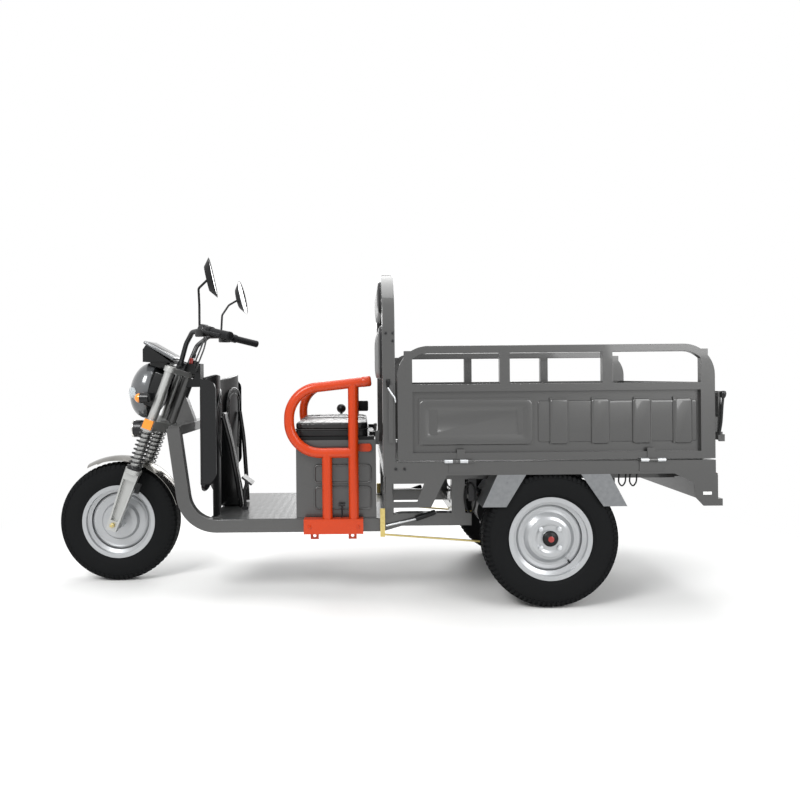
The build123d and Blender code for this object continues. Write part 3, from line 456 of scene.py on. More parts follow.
# Centre, width, crown radius, tread columns, lug height and body of each tyre, in millimetres.
TYRE_MAKES = {
    "front_tyre": ((FRONT_AXLE[0], 0, FRONT_AXLE[1]), 98.0, 272.5, 144, 3.4, "front_wheel"),
}
for side, word in SIDES:
    hub = (REAR_AXLE[0], side * REAR_WHEEL_PLANE, REAR_AXLE[1])
    TYRE_MAKES[f"rear_tyre_{word}"] = (hub, 109.0, 275.0, 164, 4.6, f"rear_wheel_{word}")


def lugged_tyre(place, width, crown, columns, lug):
    """A carcass with two rows of shoulder lugs, two rows of tread blocks and a centre rib."""
    half = [
        (BEAD_HALF_WIDTH, BEAD_RADIUS),
        (BEAD_HALF_WIDTH, 168.0),
        (0.45 * width, 181.0),
        (0.488 * width, 205.0),
        (0.492 * width, 228.0),
        (0.487 * width, 232.0),
        (0.48 * width, crown - 28),
        (0.446 * width, crown - 10 - lug),
        (0.34 * width, crown - 4 - lug),
        (0.22 * width, crown - 2 - lug),
        (0.16 * width, crown - 1.2 - lug),
    ]
    outline = [(r, a) for a, r in half] + [(r, -a) for a, r in half[::-1]]
    outline.append((BEAD_RADIUS, BEAD_HALF_WIDTH))
    tyre = turned_piece(outline, columns, place, (0, 1, 0))
    centre = Vector(place) * MM
    edit(tyre, "FACE")
    bpy.ops.mesh.select_all(action="DESELECT")
    bpy.ops.object.mode_set(mode="OBJECT")
    low_lug = (crown - 29) * MM
    for face in tyre.data.polygons:
        spot = face.center - centre
        reach = math.hypot(spot.x, spot.z)
        if reach < low_lug or abs(spot.y) < 0.1 * width * MM:
            continue
        column = math.floor((math.atan2(spot.z, spot.x) / math.tau + 1.0) * columns)
        row = abs(spot.y) > 0.3 * width * MM
        face.select = (column + row + (spot.y > 0)) % 2 == 0 or 0.16 * width * MM > abs(spot.y)
    bpy.ops.object.mode_set(mode="EDIT")
    bpy.ops.mesh.extrude_region_shrink_fatten(TRANSFORM_OT_shrink_fatten={"value": lug * MM})
    bpy.ops.object.mode_set(mode="OBJECT")
    return tyre


for tyre_name, (place, width, crown, columns, lug, body) in TYRE_MAKES.items():
    tyre = lugged_tyre(place, width, crown, columns, lug)
    settle(tyre, f"{tyre_name}_tread", body, tyre_rubber, 28)
    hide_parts(tyre_name)
print("tyres", len(TYRE_MAKES))

# %% [markdown]
# Wheel furniture: bright nuts on the rear discs, the black hub caps with a plain red centre,
# tyre valves, and the brass-coloured nuts on the front axle.

# %% Wheel nuts, caps and valves
red_enamel, shader = new_finish("red_cap_enamel", "#8f1a13", 0.3, 0.0, Coat_Weight=0.4)
grain(red_enamel, shader, 5.0, ("#861710", "#9a2018"), (0.25, 0.38), 0.01)

bright_zinc, shader = new_finish("bright_zinc_plate", "#c9ccce", 0.28, 0.9)
grain(bright_zinc, shader, 9.0, ("#b9bcbf", "#d8dadc"), (0.22, 0.38), 0.01)


def hex_nut(place, axis, across, depth, stud=None):
    """A chamfered hexagon nut with its stud, standing on a place along an axis."""
    bpy.ops.mesh.primitive_cylinder_add(vertices=6, radius=across / 2 * MM, depth=depth * MM)
    nut = bpy.context.active_object
    edit(nut, "EDGE")
    bpy.ops.mesh.bevel(offset=0.06 * across * MM, segments=2)
    bpy.ops.object.mode_set(mode="OBJECT")
    bpy.ops.object.transform_apply(location=True, rotation=True, scale=True)
    parts = [nut]
    if stud:
        top, wide = stud + depth / 2, across * 0.28
        parts.append(turned_piece([(0.01, top), (across * 0.24, top), (wide, stud), (wide, 0)], 16))
    nut = joined(parts)
    nut.location = (Vector(place) + Vector(axis).normalized() * depth / 2) * MM
    nut.rotation_euler = Vector(axis).to_track_quat("Z", "Y").to_euler()
    pick(nut)
    bpy.ops.object.transform_apply(location=True, rotation=True, scale=True)
    return nut


NUT_CIRCLE = 53
for side, word in SIDES:
    body = f"rear_wheel_{word}"
    nuts = []
    for k in range(4):
        angle = math.radians(45 + 90 * k)
        x = REAR_AXLE[0] + NUT_CIRCLE * math.cos(angle)
        z = REAR_AXLE[1] + NUT_CIRCLE * math.sin(angle)
        nuts.append(hex_nut((x, side * 441, z), (0, side, 0), 21, 8, 4))
    settle(joined(nuts), f"wheel_nuts_{word}", body, bright_zinc)
    dome = [(0.01, 13), (14, 13), (16, 11), (24, 9), (30, 5), (32, 0), (31, -4)]
    cap = turned_piece(dome, 48, (REAR_AXLE[0], side * 449, REAR_AXLE[1]), (0, side, 0))
    settle(cap, f"hub_cap_{word}", body, black_abs)
    disc = [(0.01, 1.6), (10, 1.4), (12, 0.4), (12, -1)]
    badge = turned_piece(disc, 40, (REAR_AXLE[0], side * 462, REAR_AXLE[1]), (0, side, 0))
    settle(badge, f"hub_cap_disc_{word}", body, red_enamel)
    foot = Vector((REAR_AXLE[0] + 86, side * 418, REAR_AXLE[1] - 106))
    knee, tip = foot + Vector((-6, side * 14, 8)), foot + Vector((-14, side * 24, 18))
    valve = bent_rod([foot, knee, tip], 3.6, 5)
    settle(valve, f"tyre_valve_{word}", body, grip_rubber)

axle_nuts = [
    hex_nut((FRONT_AXLE[0], side * 118, FRONT_AXLE[1]), (0, side, 0), 24, 10, 5)
    for side, _ in SIDES
]
settle(joined(axle_nuts), "front_axle_nuts", "steering", zinc_plate)
print("wheel furniture ready")

# %% [markdown]
# Each fork leg carries an open coil spring round its stanchion: one wire section, screwed up
# along the leg.

# %% Fork springs
STEERING_UP = Vector((0.3502, 0, 0.9367))


def coil_spring(foot, height, radius, wire, turns):
    """A coil of round wire in millimetres that stands on a foot along the steering axis."""
    bpy.ops.mesh.primitive_circle_add(vertices=12, radius=wire * MM, rotation=(math.pi / 2, 0, 0))
    coil = bpy.context.active_object
    coil.location = (radius * MM, 0, 0)
    bpy.ops.object.transform_apply(location=True, rotation=True, scale=True)
    rise, steps = (height - 2 * wire) * MM, 28 * turns
    apply_modifier(
        coil, "SCREW", angle=math.tau * turns, screw_offset=rise, steps=steps, render_steps=steps
    )
    coil.location = Vector(foot) * MM + STEERING_UP * wire * MM
    coil.rotation_euler = STEERING_UP.to_track_quat("Z", "Y").to_euler()
    return coil


for side, word in SIDES:
    spring_foot = (-1053.5, side * 100, 524.0)
    coil = coil_spring(spring_foot, 184, 31.2, 3.2, 9)
    settle(coil, f"fork_spring_{word}", "steering", black_enamel)
    seat_ring = [(22, -4), (31, -4), (32, 0), (32, 8), (22, 10)]
    sleeve = turned_piece(seat_ring, 40, spring_foot, tuple(STEERING_UP))
    settle(sleeve, f"spring_seat_{word}", "steering", black_enamel)
    if side < 0:
        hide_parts("fork_springs")
print("fork springs ready")

# %% [markdown]
# The front end. The headlamp housing is an egg, cut through: a grey front and a black back.
# An aluminised bowl and a clear lens stand in its face, and the instrument pod leans over it.

# %% Headlamp, signals and instrument pod
gloss_abs, shader = new_finish(
    "black_gloss_abs", "#0b0c0d", 0.22, 0.0,
    Specular_IOR_Level=0.28, Coat_Weight=0.15, Coat_Roughness=0.08,
)
grain(gloss_abs, shader, 5.0, ("#0d0e0f", "#151617"), (0.16, 0.27), 0.02)

EGG_CENTRE = Vector((-1011.5, 0, 876)) * MM
EGG_LEAN = math.radians(10)
EGG_RADII = (84, 100, 130)


def egg_slice(low, high, swell, name, finish):
    """The part of the egg housing between two distances from its middle, as a thin shell."""
    bpy.ops.mesh.primitive_uv_sphere_add(segments=72, ring_count=48, radius=1)
    egg = bpy.context.active_object
    egg.scale = [(radius + swell) * MM for radius in EGG_RADII]
    egg.rotation_euler = (0, EGG_LEAN, 0)
    egg.location = EGG_CENTRE
    bpy.ops.object.transform_apply(location=True, rotation=True, scale=True)
    along = Matrix.Rotation(EGG_LEAN, 3, "Y") @ Vector((1, 0, 0))
    for distance, clear in ((low, "clear_inner"), (high, "clear_outer")):
        edit(egg)
        spot = EGG_CENTRE + along * distance * MM
        bpy.ops.mesh.bisect(plane_co=spot, plane_no=along, **{clear: True})
        bpy.ops.object.mode_set(mode="OBJECT")
    apply_modifier(egg, "SOLIDIFY", thickness=3 * MM, offset=-1)
    return settle(egg, name, "steering", finish)


housing_front = egg_slice(-200, 22, 0, "headlamp_housing_front", grey_abs)
egg_slice(18, 200, -1.5, "headlamp_housing_back", gloss_abs)
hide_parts("headlamp_shell")


LENS_CENTRE = Vector((-1030, 0, 866))
LENS_RADII = (72, 99, 64)
LENS_LEAN = 6


def lamp_bowl(name, finish, shrink):
    """An oval bowl that stands forward in the housing's face, as the lens or the bowl behind it."""
    bpy.ops.mesh.primitive_uv_sphere_add(segments=64, ring_count=32, radius=1)
    bowl = bpy.context.active_object
    bowl.scale = [(radius - shrink) * MM for radius in LENS_RADII]
    bowl.rotation_euler = (0, math.radians(LENS_LEAN), 0)
    bowl.location = LENS_CENTRE * MM
    bpy.ops.object.transform_apply(location=True, rotation=True, scale=True)
    edit(bowl)
    bpy.ops.mesh.bisect(plane_co=(-1.046, 0, 0.866), plane_no=(1, 0, 0.1), clear_outer=True)
    bpy.ops.object.mode_set(mode="OBJECT")
    apply_modifier(bowl, "SOLIDIFY", thickness=2 * MM, offset=-1)
    return settle(bowl, name, "steering", finish)


lens = lamp_bowl("headlamp_glass", clear_lens, 0)
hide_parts("headlamp_lens")
reflector, shader = new_finish("aluminised_reflector", "#dfe3e4", 0.12, 1.0)
grain(reflector, shader, 12.0, None, (0.08, 0.2), 0.03)
lamp_bowl("headlamp_reflector", reflector, 2.5)
bezel = turned_piece([(67, -2), (73, -2), (75, 2), (72, 6), (66, 6)], 72, (0, 0, 0), (0, 0, 1))
bezel.scale = (0.88, 1.2, 1)
bezel.location = (LENS_CENTRE + Vector((-22, 0, 0))) * MM
bezel.rotation_euler = (0, math.radians(LENS_LEAN - 90), 0)
settle(bezel, "headlamp_bezel", "steering", chrome_plate)

SIGNAL_HEIGHT = 844.7
SIGNAL_CUP = [(0.01, -31), (18, -30), (22.8, -25), (23.5, -6), (23.5, 12), (21.2, 12)]
SIGNAL_STALK = [(12, 0), (10.5, 4), (10.5, 30)]
FORK_LEAN = (0, 20, 0)
for side, word in SIDES:
    cup = turned_piece(SIGNAL_CUP, 40, (-998, side * 136, SIGNAL_HEIGHT), (-1, 0, 0))
    stalk = turned_piece(SIGNAL_STALK, 24, (-993, side * 96, SIGNAL_HEIGHT), (0, side, 0))
    settle(joined([cup, stalk]), f"signal_housing_{word}", "steering", gloss_abs)
    ear = block((-985, side * 96 - 3, 800), (-930, side * 96 + 3, 960), 5, 3, FORK_LEAN)
    settle(ear, f"headlamp_ear_{word}", "steering", gloss_abs)
    rim = block((-1039, side * 128 - 4, 416), (-1017, side * 128 + 5, 462), 3, 2, FORK_LEAN)
    settle(rim, f"reflector_back_{word}", "steering", black_abs)

POD_LEAN = (0, 30.5, 0)
pod_frame = block((-1022, -88, 1050), (-862, 88, 1066), 7, 4, POD_LEAN)
settle(pod_frame, "instrument_frame", "steering", grey_abs)
pod_screen = block((-1003, -72, 1064), (-883, 72, 1068.5), 2, 2, POD_LEAN)
screen_glass, shader = new_finish(
    "smoked_screen_glass", "#0b0d10", 0.14, 0.0, Specular_IOR_Level=0.3
)
grain(screen_glass, shader, 60.0, None, (0.05, 0.11), 0.0)
settle(pod_screen, "instrument_screen", "steering", screen_glass)
pod_neck = block((-990, -60, 975), (-905, 60, 1040), 14, 4, (0, 18, 0))
settle(pod_neck, "instrument_neck", "steering", gloss_abs)
HORN_RIM = [(30, 0), (38, 0), (41, 3), (41, 8), (38, 10)]
horn_ring = turned_piece(HORN_RIM, 48, (-1078, 0, 698), (-1, 0, 0))
settle(horn_ring, "horn_rim", "steering", chrome_plate)
print("front end ready")

# %% [markdown]
# Mirror glass, handlebar switch boxes, the key with its red tag, and the two braided control
# cables that sag from the handlebar to the steering cover.

# %% Controls and cables
MIRROR_HEADS = {"left": (-640, -335, 1350), "right": (-634, 335, 1344)}
MIRROR_LEAN = math.radians(12)
SWITCH_CLAMP = [(11.3, -30), (21, -30), (25, -26), (25, 2), (22, 6), (22, 26), (18, 30), (11.3, 30)]
GRIP_END = [(0.01, 5), (13, 5), (17.5, 2), (17.5, -6), (16, -8)]
for side, word in SIDES:
    head = MIRROR_HEADS[word]
    facing = Vector((math.cos(MIRROR_LEAN), -side * 0.12, math.sin(MIRROR_LEAN))).normalized()
    across = (Vector((0, 1, 0)) - facing * facing.y).normalized()
    upward = facing.cross(across)
    bpy.ops.mesh.primitive_cylinder_add(vertices=72, radius=1, depth=1.6 * MM)
    glass = bpy.context.active_object
    glass.scale = (49.5 * MM, 82.5 * MM, 1)
    bpy.ops.object.transform_apply(location=True, rotation=True, scale=True)
    edit(glass, "EDGE")
    bpy.ops.mesh.bevel(offset=0.5 * MM, segments=2)
    bpy.ops.object.mode_set(mode="OBJECT")
    turn = Matrix((across, upward, facing)).transposed().to_4x4()
    glass.matrix_world = Matrix.Translation((Vector(head) + facing * 2) * MM) @ turn
    settle(glass, f"mirror_glass_{word}", "steering", mirror_glass)

    tip = Vector((-567, side * 350, 1106))
    inner = Vector((-705, side * 230, 1140))
    along = (tip - inner).normalized()
    clamp = turned_piece(SWITCH_CLAMP, 32, tuple(inner + along * 18), tuple(along))
    box = block((-26, -20, -17), (26, 20, 17), 6, 3)
    box.location = (inner + along * 20 + Vector((-18, 0, -10))) * MM
    box.rotation_euler = (0, 0, math.atan2(along.y, along.x))
    settle(joined([clamp, box]), f"switch_box_{word}", "steering", gloss_abs)
    end_ring = turned_piece(GRIP_END, 32, tuple(tip), tuple(along))
    settle(end_ring, f"grip_end_{word}", "steering", grip_rubber)

white_button, shader = new_finish("white_button_plastic", "#e6e7e6", 0.4)
grain(white_button, shader, 4.0, ("#dfe0df", "#ededec"), (0.35, 0.5), 0.01)
BUTTON_DOME = [(0.01, 5), (5, 4.5), (7, 2), (7, -4)]
button = turned_piece(BUTTON_DOME, 24, (-694, 262, 1146), (0.4, -0.7, 0.6))
settle(button, "light_button", "steering", white_button)
key_rod = bent_rod([(-803, 0, 1006), (-803, 0, 1030)], 3, 4)
settle(key_rod, "ignition_key", "steering", bright_zinc)
key_head = block((-812, -3, 1024), (-794, 3, 1046), 2.5, 3, (0, 15, 0))
settle(key_head, "key_head", "steering", black_abs)
key_tag = block((-818, -30, 990), (-801, -27, 1024), 1.4, 2, (8, 12, 0))
settle(key_tag, "key_tag", "steering", red_enamel)


CABLE_THICKNESS = 7


def free_cord(name, points, diameter, finish, body):
    """A cord held at both ends, as one open NURBS line in millimetres, that rides its body."""
    curve = bpy.data.curves.new(name, "CURVE")
    curve.dimensions = "3D"
    line = curve.splines.new("NURBS")
    line.points.add(len(points) - 1)
    for point, place in zip(line.points, points):
        point.co = (*[v * MM for v in place], 1)
    line.order_u = 3
    line.use_endpoint_u = True
    curve.bevel_depth = diameter / 2 * MM
    curve.bevel_resolution = 5
    curve.use_fill_caps = True
    cord = bpy.data.objects.new(name, curve)
    scene.collection.objects.link(cord)
    curve.materials.append(finish)
    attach(cord, body)
    return cord


braid, shader = new_finish("braided_cable_sleeve", "#2a2b2c", 0.5, 0.2)
grain(braid, shader, 1.2, ("#1a1b1c", "#6a6b6c"), (0.4, 0.6), 0.1)
CABLES = {
    "clutch_side_cable": [
        (-700, -212, 1126), (-716, -190, 1085), (-745, -150, 1040), (-775, -90, 1006), (-790, -36, 985),
    ],
    "brake_side_cable": [
        (-688, -232, 1122), (-700, -214, 1074), (-728, -176, 1026), (-762, -110, 985), (-784, -36, 962),
    ],
}
for cable_name, points in CABLES.items():
    free_cord(cable_name, points, CABLE_THICKNESS, braid, "steering")
print("controls ready")

# %% [markdown]
# The leg shield is the moulding that gives the footwell its look. Raised arches frame its two
# pockets, a ridge slopes down its middle between two flanks, and a bulge stands on each lower
# side. Rounded lips and two wings close its edges.

# %% Leg shield mouldings
SHIELD_HALF_LINE = [(0, -688), (110, -664), (236, -641), (304, -700)]
SHIELD_LINE = [(-y, x) for y, x in SHIELD_HALF_LINE[:0:-1]] + SHIELD_HALF_LINE
POCKET_MIDDLE = 162
RIDGE_LEAN = 78
LIP_HEIGHTS = ((-290, 928), (-250, 943), (-110, 929), (0, 921), (110, 929), (250, 943), (290, 928))
WING_CORNER = 46


def shield_rear(y):
    """X of the shield's rear face at a distance from the middle, in millimetres."""
    for (y0, x0), (y1, x1) in zip(SHIELD_LINE, SHIELD_LINE[1:]):
        if y0 <= y <= y1:
            t = (y - y0) / (y1 - y0)
            return x0 + (x1 - x0) * t * t * (3 - 2 * t)
    return -700


for side, word in SIDES:
    middle = side * POCKET_MIDDLE
    for ring, grow, rim_radius in (("outer", 0, 7.5), ("inner", -24, 5)):
        half, low, high = 88 + grow, 590 - grow, 880 + grow
        arch = [(middle - half * 0.45, low), (middle - half, low + 120)]
        for k in range(13):
            angle = math.pi * k / 12
            arch.append((middle - half * math.cos(angle), high - half + half * math.sin(angle)))
        arch += [(middle + half, low + 120), (middle + half * 0.45, low)]
        rim = bent_rod([(shield_rear(y) + 3, y, z) for y, z in arch], rim_radius, 6, 5)
        settle(rim, f"shield_arch_{word}_{ring}", "chassis", gloss_abs)
    bpy.ops.mesh.primitive_uv_sphere_add(segments=40, ring_count=28, radius=1)
    bulge = bpy.context.active_object
    for vertex in bulge.data.vertices:
        x, y, z = vertex.co
        vertex.co = (max(x, -0.25), y * (1 - 0.22 * z), z)
    bulge.scale = (34 * MM, 52 * MM, 112 * MM)
    bulge.location = (-0.694, side * 0.242, 0.555)
    bulge.rotation_euler = (0, math.radians(4), 0)
    settle(bulge, f"shield_bulge_{word}", "chassis", gloss_abs)
    flank_line = [(-628, 205, 762), (-604, 170, 640), (-584, 118, 470), (-572, 84, 345)]
    flank = bent_rod([(x, side * y, z) for x, y, z in flank_line], 10, 40, 6)
    settle(flank, f"shield_flank_{word}", "chassis", gloss_abs)

ridge = block((-690, -46, 341), (-575, 46, 772), 9, 3)
select_where(ridge, lambda spots: all(s.z > 0 and s.x > 0 for s in spots), "polygons")
bpy.ops.transform.translate(value=(-RIDGE_LEAN * MM, 0, 0))
bpy.ops.object.mode_set(mode="OBJECT")
settle(ridge, "shield_ridge", "chassis", gloss_abs)
lip_line = [(shield_rear(y) + 1, y, z) for y, z in LIP_HEIGHTS]
settle(bent_rod(lip_line, 5, 24, 5), "shield_top_lip", "chassis", gloss_abs)
for side, word in SIDES:
    lip = bent_rod([(shield_rear(side * 302), side * 303, z) for z in (484, 600, 740, 880)], 5, 30, 5)
    settle(lip, f"shield_side_lip_{word}", "chassis", gloss_abs)
for side, word in SIDES:
    bpy.ops.mesh.primitive_cube_add(size=1, location=(-0.670, side * 0.302, 0.706))
    wing = bpy.context.active_object
    wing.scale = (0.066, 0.007, 0.440)
    bpy.ops.object.transform_apply(location=True, rotation=True, scale=True)
    select_where(wing, lambda ends: abs(ends[0].y - ends[1].y) > 0.004 and ends[0].x > -0.67)
    bpy.ops.mesh.bevel(offset=WING_CORNER * MM, segments=8)
    bpy.ops.object.mode_set(mode="OBJECT")
    settle(wing, f"shield_wing_{word}", "chassis", gloss_abs)
print("leg shield ready")

# %% [markdown]
# The seat is two stuffed layers with piping in the groove between them, the upper one wrapped in
# a clear film. The backrest pads are made the same way: a rounded slab whose face is raised and
# drawn in step by step, so that it crowns, and then subdivided smooth.

# %% Cushions and pads
seat_vinyl, shader = new_finish("black_seat_vinyl", "#101011", 0.42, 0.0, Specular_IOR_Level=0.3)
grain(seat_vinyl, shader, 38.0, ("#0f0f10", "#1b1b1c"), (0.28, 0.5), 1.6, 7.0)

film_vinyl, shader = new_finish(
    "film_wrapped_vinyl", "#0f0f10", 0.42, 0.0,
    Specular_IOR_Level=0.3, Coat_Weight=0.4, Coat_Roughness=0.06,
)
film_folds = grain(film_vinyl, shader, 46.0, ("#0c0c0d", "#161617"), (0.35, 0.5), 7.0, 4.0)
film_folds.inputs["Distortion"].default_value = 1.6
film_bump = next(n for n in film_vinyl.node_tree.nodes if n.bl_idname == "ShaderNodeBump")
film_vinyl.node_tree.links.new(film_bump.outputs["Normal"], shader.inputs["Coat Normal"])

piping_vinyl, shader = new_finish("black_piping_vinyl", "#0d0d0e", 0.5)
grain(piping_vinyl, shader, 3.0, ("#0a0a0b", "#121213"), (0.4, 0.6), 0.05)


def rounded_slab(low, high, axis, corner, edge):
    """A slab in millimetres with round corners about one axis and softened rims."""
    bpy.ops.mesh.primitive_cube_add(size=1)
    slab = bpy.context.active_object
    slab.scale = [(b - a) * MM for a, b in zip(low, high)]
    slab.location = [(a + b) / 2 * MM for a, b in zip(low, high)]
    bpy.ops.object.transform_apply(location=True, rotation=True, scale=True)
    select_where(slab, lambda spots: abs(spots[0][axis] - spots[1][axis]) > 1e-4)
    bpy.ops.mesh.bevel(offset=corner * MM, segments=6)
    bpy.ops.object.mode_set(mode="OBJECT")
    select_where(slab, lambda spots: abs(spots[0][axis] - spots[1][axis]) < 1e-5)
    bpy.ops.mesh.bevel(offset=edge * MM, segments=4)
    bpy.ops.object.mode_set(mode="OBJECT")
    return slab


def stepped(slab, axis, outward, steps):
    """Extrudes the slab's outer face by (inset, rise) steps in millimetres, drawing it in."""
    ends = [vertex.co[axis] for vertex in slab.data.vertices]
    level = max(ends) if outward > 0 else min(ends)
    rim = [v.co.copy() for v in slab.data.vertices if abs(v.co[axis] - level) < 1e-5]
    half = [(max(c[i] for c in rim) - min(c[i] for c in rim)) / 2 for i in range(3)]
    middle = Vector([(max(c[i] for c in rim) + min(c[i] for c in rim)) / 2 for i in range(3)])
    select_where(slab, lambda spots: all(abs(s[axis] - level) < 1e-5 for s in spots), "polygons")
    for inset, rise in steps:
        step = Vector([outward * rise * MM if i == axis else 0 for i in range(3)])
        draw = [1 if i == axis else (half[i] - inset * MM) / half[i] for i in range(3)]
        bpy.ops.mesh.extrude_region_move(TRANSFORM_OT_translate={"value": step})
        middle += step
        bpy.ops.transform.resize(value=draw, center_override=middle)
        half = [h * d for h, d in zip(half, draw)]
    bpy.ops.object.mode_set(mode="OBJECT")
    return slab


def crowned(slab, axis, outward, steps):
    """A slab whose outer face rises step by step to a crown, subdivided smooth."""
    stepped(slab, axis, outward, steps)
    apply_modifier(slab, "SUBSURF", levels=1, render_levels=1)
    return slab


ALONG_X, ALONG_Y, ALONG_Z = range(3)
TOP_STEPS = [(16, 3.2), (24, 2.6), (34, 1.6), (40, 0.6)]
PAD_STEPS = [(14, 3.0), (18, 2.2), (22, 1.2)]

seat_low = rounded_slab((-303, -305, 680), (3, 305, 707), ALONG_Z, 30, 5)
crowned(seat_low, ALONG_Z, 1, [(12, 0.2)])
settle(seat_low, "seat_cushion_low", "seat", seat_vinyl, 60)
seat_top = rounded_slab((-303, -305, 710), (3, 305, 739), ALONG_Z, 34, 10)
crowned(seat_top, ALONG_Z, 1, TOP_STEPS)
settle(seat_top, "seat_cushion_top", "seat", film_vinyl, 60)
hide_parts("seat_cushion")

PIPING_LINE = [(-150, -304), (2, -304), (2, 304), (-302, 304), (-302, -304), (-150, -304)]
piping = bent_rod([(x, y, 708.5) for x, y in PIPING_LINE], 3.2, 30, 5)
settle(piping, "seat_piping", "seat", piping_vinyl, 60)
SEAM_LINE = [(-296, 741), (-282, 746.5), (-150, 748.2), (-18, 746.5), (-4, 741)]
for side, word in SIDES:
    seam = bent_rod([(x, side * 102, z) for x, z in SEAM_LINE], 1.6, 10, 4)
    settle(seam, f"seat_seam_{word}", "seat", piping_vinyl, 60)

for word, half, z_low, z_high in (("low", 400, 921, 1141), ("high", 286, 1201, 1339)):
    pad = rounded_slab((53, -half, z_low), (72, half, z_high), ALONG_X, 38, 8)
    crowned(pad, ALONG_X, -1, PAD_STEPS)
    settle(pad, f"backrest_pad_{word}", "chassis", seat_vinyl, 60)
    if word == "low":
        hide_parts("backrest_pads")
    start = (-half + 40, z_low)
    loop = [start, (half, z_low), (half, z_high), (-half, z_high), (-half, z_low), start]
    piping = bent_rod([(64, y, z) for y, z in loop], 2.6, 36, 5)
    settle(piping, f"backrest_piping_{word}", "chassis", piping_vinyl, 60)
print("cushions ready")

# %% [markdown]
# The side gates are pressed from sheet. Each carries a long framed field, hollow inside its
# frame, and four broad bands on a low base, which catch the light as rounded strips.

# %% Pressed gate panels
GATE_FACE = 464
BAND_PITCH = 164.3
# Low and high X, low and high Z, rise and corner radius of each field, in millimetres.
FIELDS = [(205, 660, 655, 838, 9, 24), (680, 1314, 664, 829, 4, 12)]
FIELDS += [(726 + BAND_PITCH * k, 800 + BAND_PITCH * k, 656, 837, 11, 14) for k in range(4)]
for side, word in SIDES:
    body = f"side_gate_{word}"
    for k, (x_low, x_high, z_low, z_high, rise, corner) in enumerate(FIELDS):
        near, far = sorted((side * 455, side * (GATE_FACE + rise)))
        field = rounded_slab(
            (x_low, near, z_low), (x_high, far, z_high), ALONG_Y, corner, min(8, rise)
        )
        if k == 0:
            stepped(field, ALONG_Y, side, [(30, 0), (5, -4.5)])
        settle(field, f"{body}_pressing_{k + 1}", body, grey_enamel, 40)
print("gate panels ready")

# %% [markdown]
# Small hardware along the bed: bolts, zinc hinge sleeves, front hooks, rear latch levers, cable
# loops, the end caps and foot bolts of the orange guards, the charging box and two board stops.

# %% Bed hardware
BOLT_PLANE = 480
HINGE_SPANS = ((306, 396), (1080, 1176))
HOOK_LINE = [(84, 484, 893), (84, 492, 884), (98, 492, 862), (110, 492, 846), (112, 488, 829)]
HOOK_GRIP = [(0.01, 16), (7, 15), (9, 8), (7, -8), (5, -20), (0.01, -21)]
LEVER_LINE = [(1392, 484, 690), (1398, 489, 740), (1402, 489, 800), (1408, 486, 842)]
LEVER_KNOB = [(0.01, 14), (8, 12), (11, 4), (10, -8), (6, -16), (0.01, -17)]
SILL_LOOP = [(0, 452, 545), (-6, 456, 500), (8, 456, 482), (22, 456, 500), (26, 452, 545)]
GUARD_CAP = [(0.01, 6), (14, 6), (20, 3), (22, -2), (22, -30), (21, -32)]


def sided_rod(line, side, radius, bend, x=0):
    """A bent rod whose line is written for the right side, shifted along X."""
    return bent_rod([(x + dx, side * y, z) for dx, y, z in line], radius, bend, 5)


for side, word in SIDES:
    outward = (0, side, 0)
    bolts = [hex_nut((x, side * BOLT_PLANE, 564), outward, 13, 5, 1.5) for x in (112, 147)]
    for x, z in ((76, 1103), (104, 1103), (104, 1072)):
        bolts.append(hex_nut((x, side * BOLT_PLANE, z), outward, 12, 5, 1.5))
    settle(joined(bolts), f"bed_bolts_{word}", "chassis", black_enamel)
    for k, (x_low, x_high) in enumerate(HINGE_SPANS):
        knuckle = [(0.01, -3), (5, -3), (7.5, 0), (7.5, 30), (5.5, 31)]
        outline = [(r, x_low + x) for r, x in knuckle]
        outline += [(r, x_high - x) for r, x in knuckle[::-1]]
        sleeve = turned_piece(outline, 20, (0, side * 488, 593), (1, 0, 0))
        settle(sleeve, f"hinge_sleeve_{word}_{k + 1}", "chassis", bright_zinc)
    hook = sided_rod(HOOK_LINE, side, 3.5, 5)
    settle(hook, f"front_hook_{word}", "chassis", bright_zinc)
    grip = turned_piece(HOOK_GRIP, 24, (84, side * 488, 905), (0, 0, 1))
    settle(grip, f"front_hook_grip_{word}", "chassis", black_abs)
    lever = sided_rod(LEVER_LINE, side, 5, 12)
    knob = turned_piece(LEVER_KNOB, 24, (1409, side * 485, 850), (0.1, 0, 1))
    settle(joined([lever, knob]), f"rear_latch_lever_{word}", f"side_gate_{word}", gloss_abs)
    for k, x in enumerate((1008, 1052)):
        loop = sided_rod(SILL_LOOP, side, 3, 10, x)
        settle(loop, f"sill_loop_{word}_{k + 1}", "chassis", black_abs)
    cap = turned_piece(GUARD_CAP, 36, (13, side * 345, 913), (337, 0, 37))
    settle(cap, f"guard_end_cap_{word}", "chassis", orange_enamel)
    bolt_row = [hex_nut((x, side * 368, 312), outward, 13, 5, 1.5) for x in (-240, -40)]
    settle(joined(bolt_row), f"guard_foot_bolts_{word}", "chassis", orange_enamel)

charge_box = rounded_slab((-70, 366, 752), (12, 400, 806), ALONG_Y, 8, 3)
settle(charge_box, "charge_box", "chassis", black_abs)
board_stops = [block((92, y - 22, 896), (118, y + 22, 912), 3, 2) for y in (-390, 390)]
settle(joined(board_stops), "front_board_stops", "chassis", black_abs)

# %% [markdown]
# Small parts under the bed and on the tail: a T-handled release by the seat box, the oval cable
# loop on the spring bracket, the brake link's damper, the seat box's raised frames, the strap
# between the orange guard's two tubes, and the bumper's pale marker.

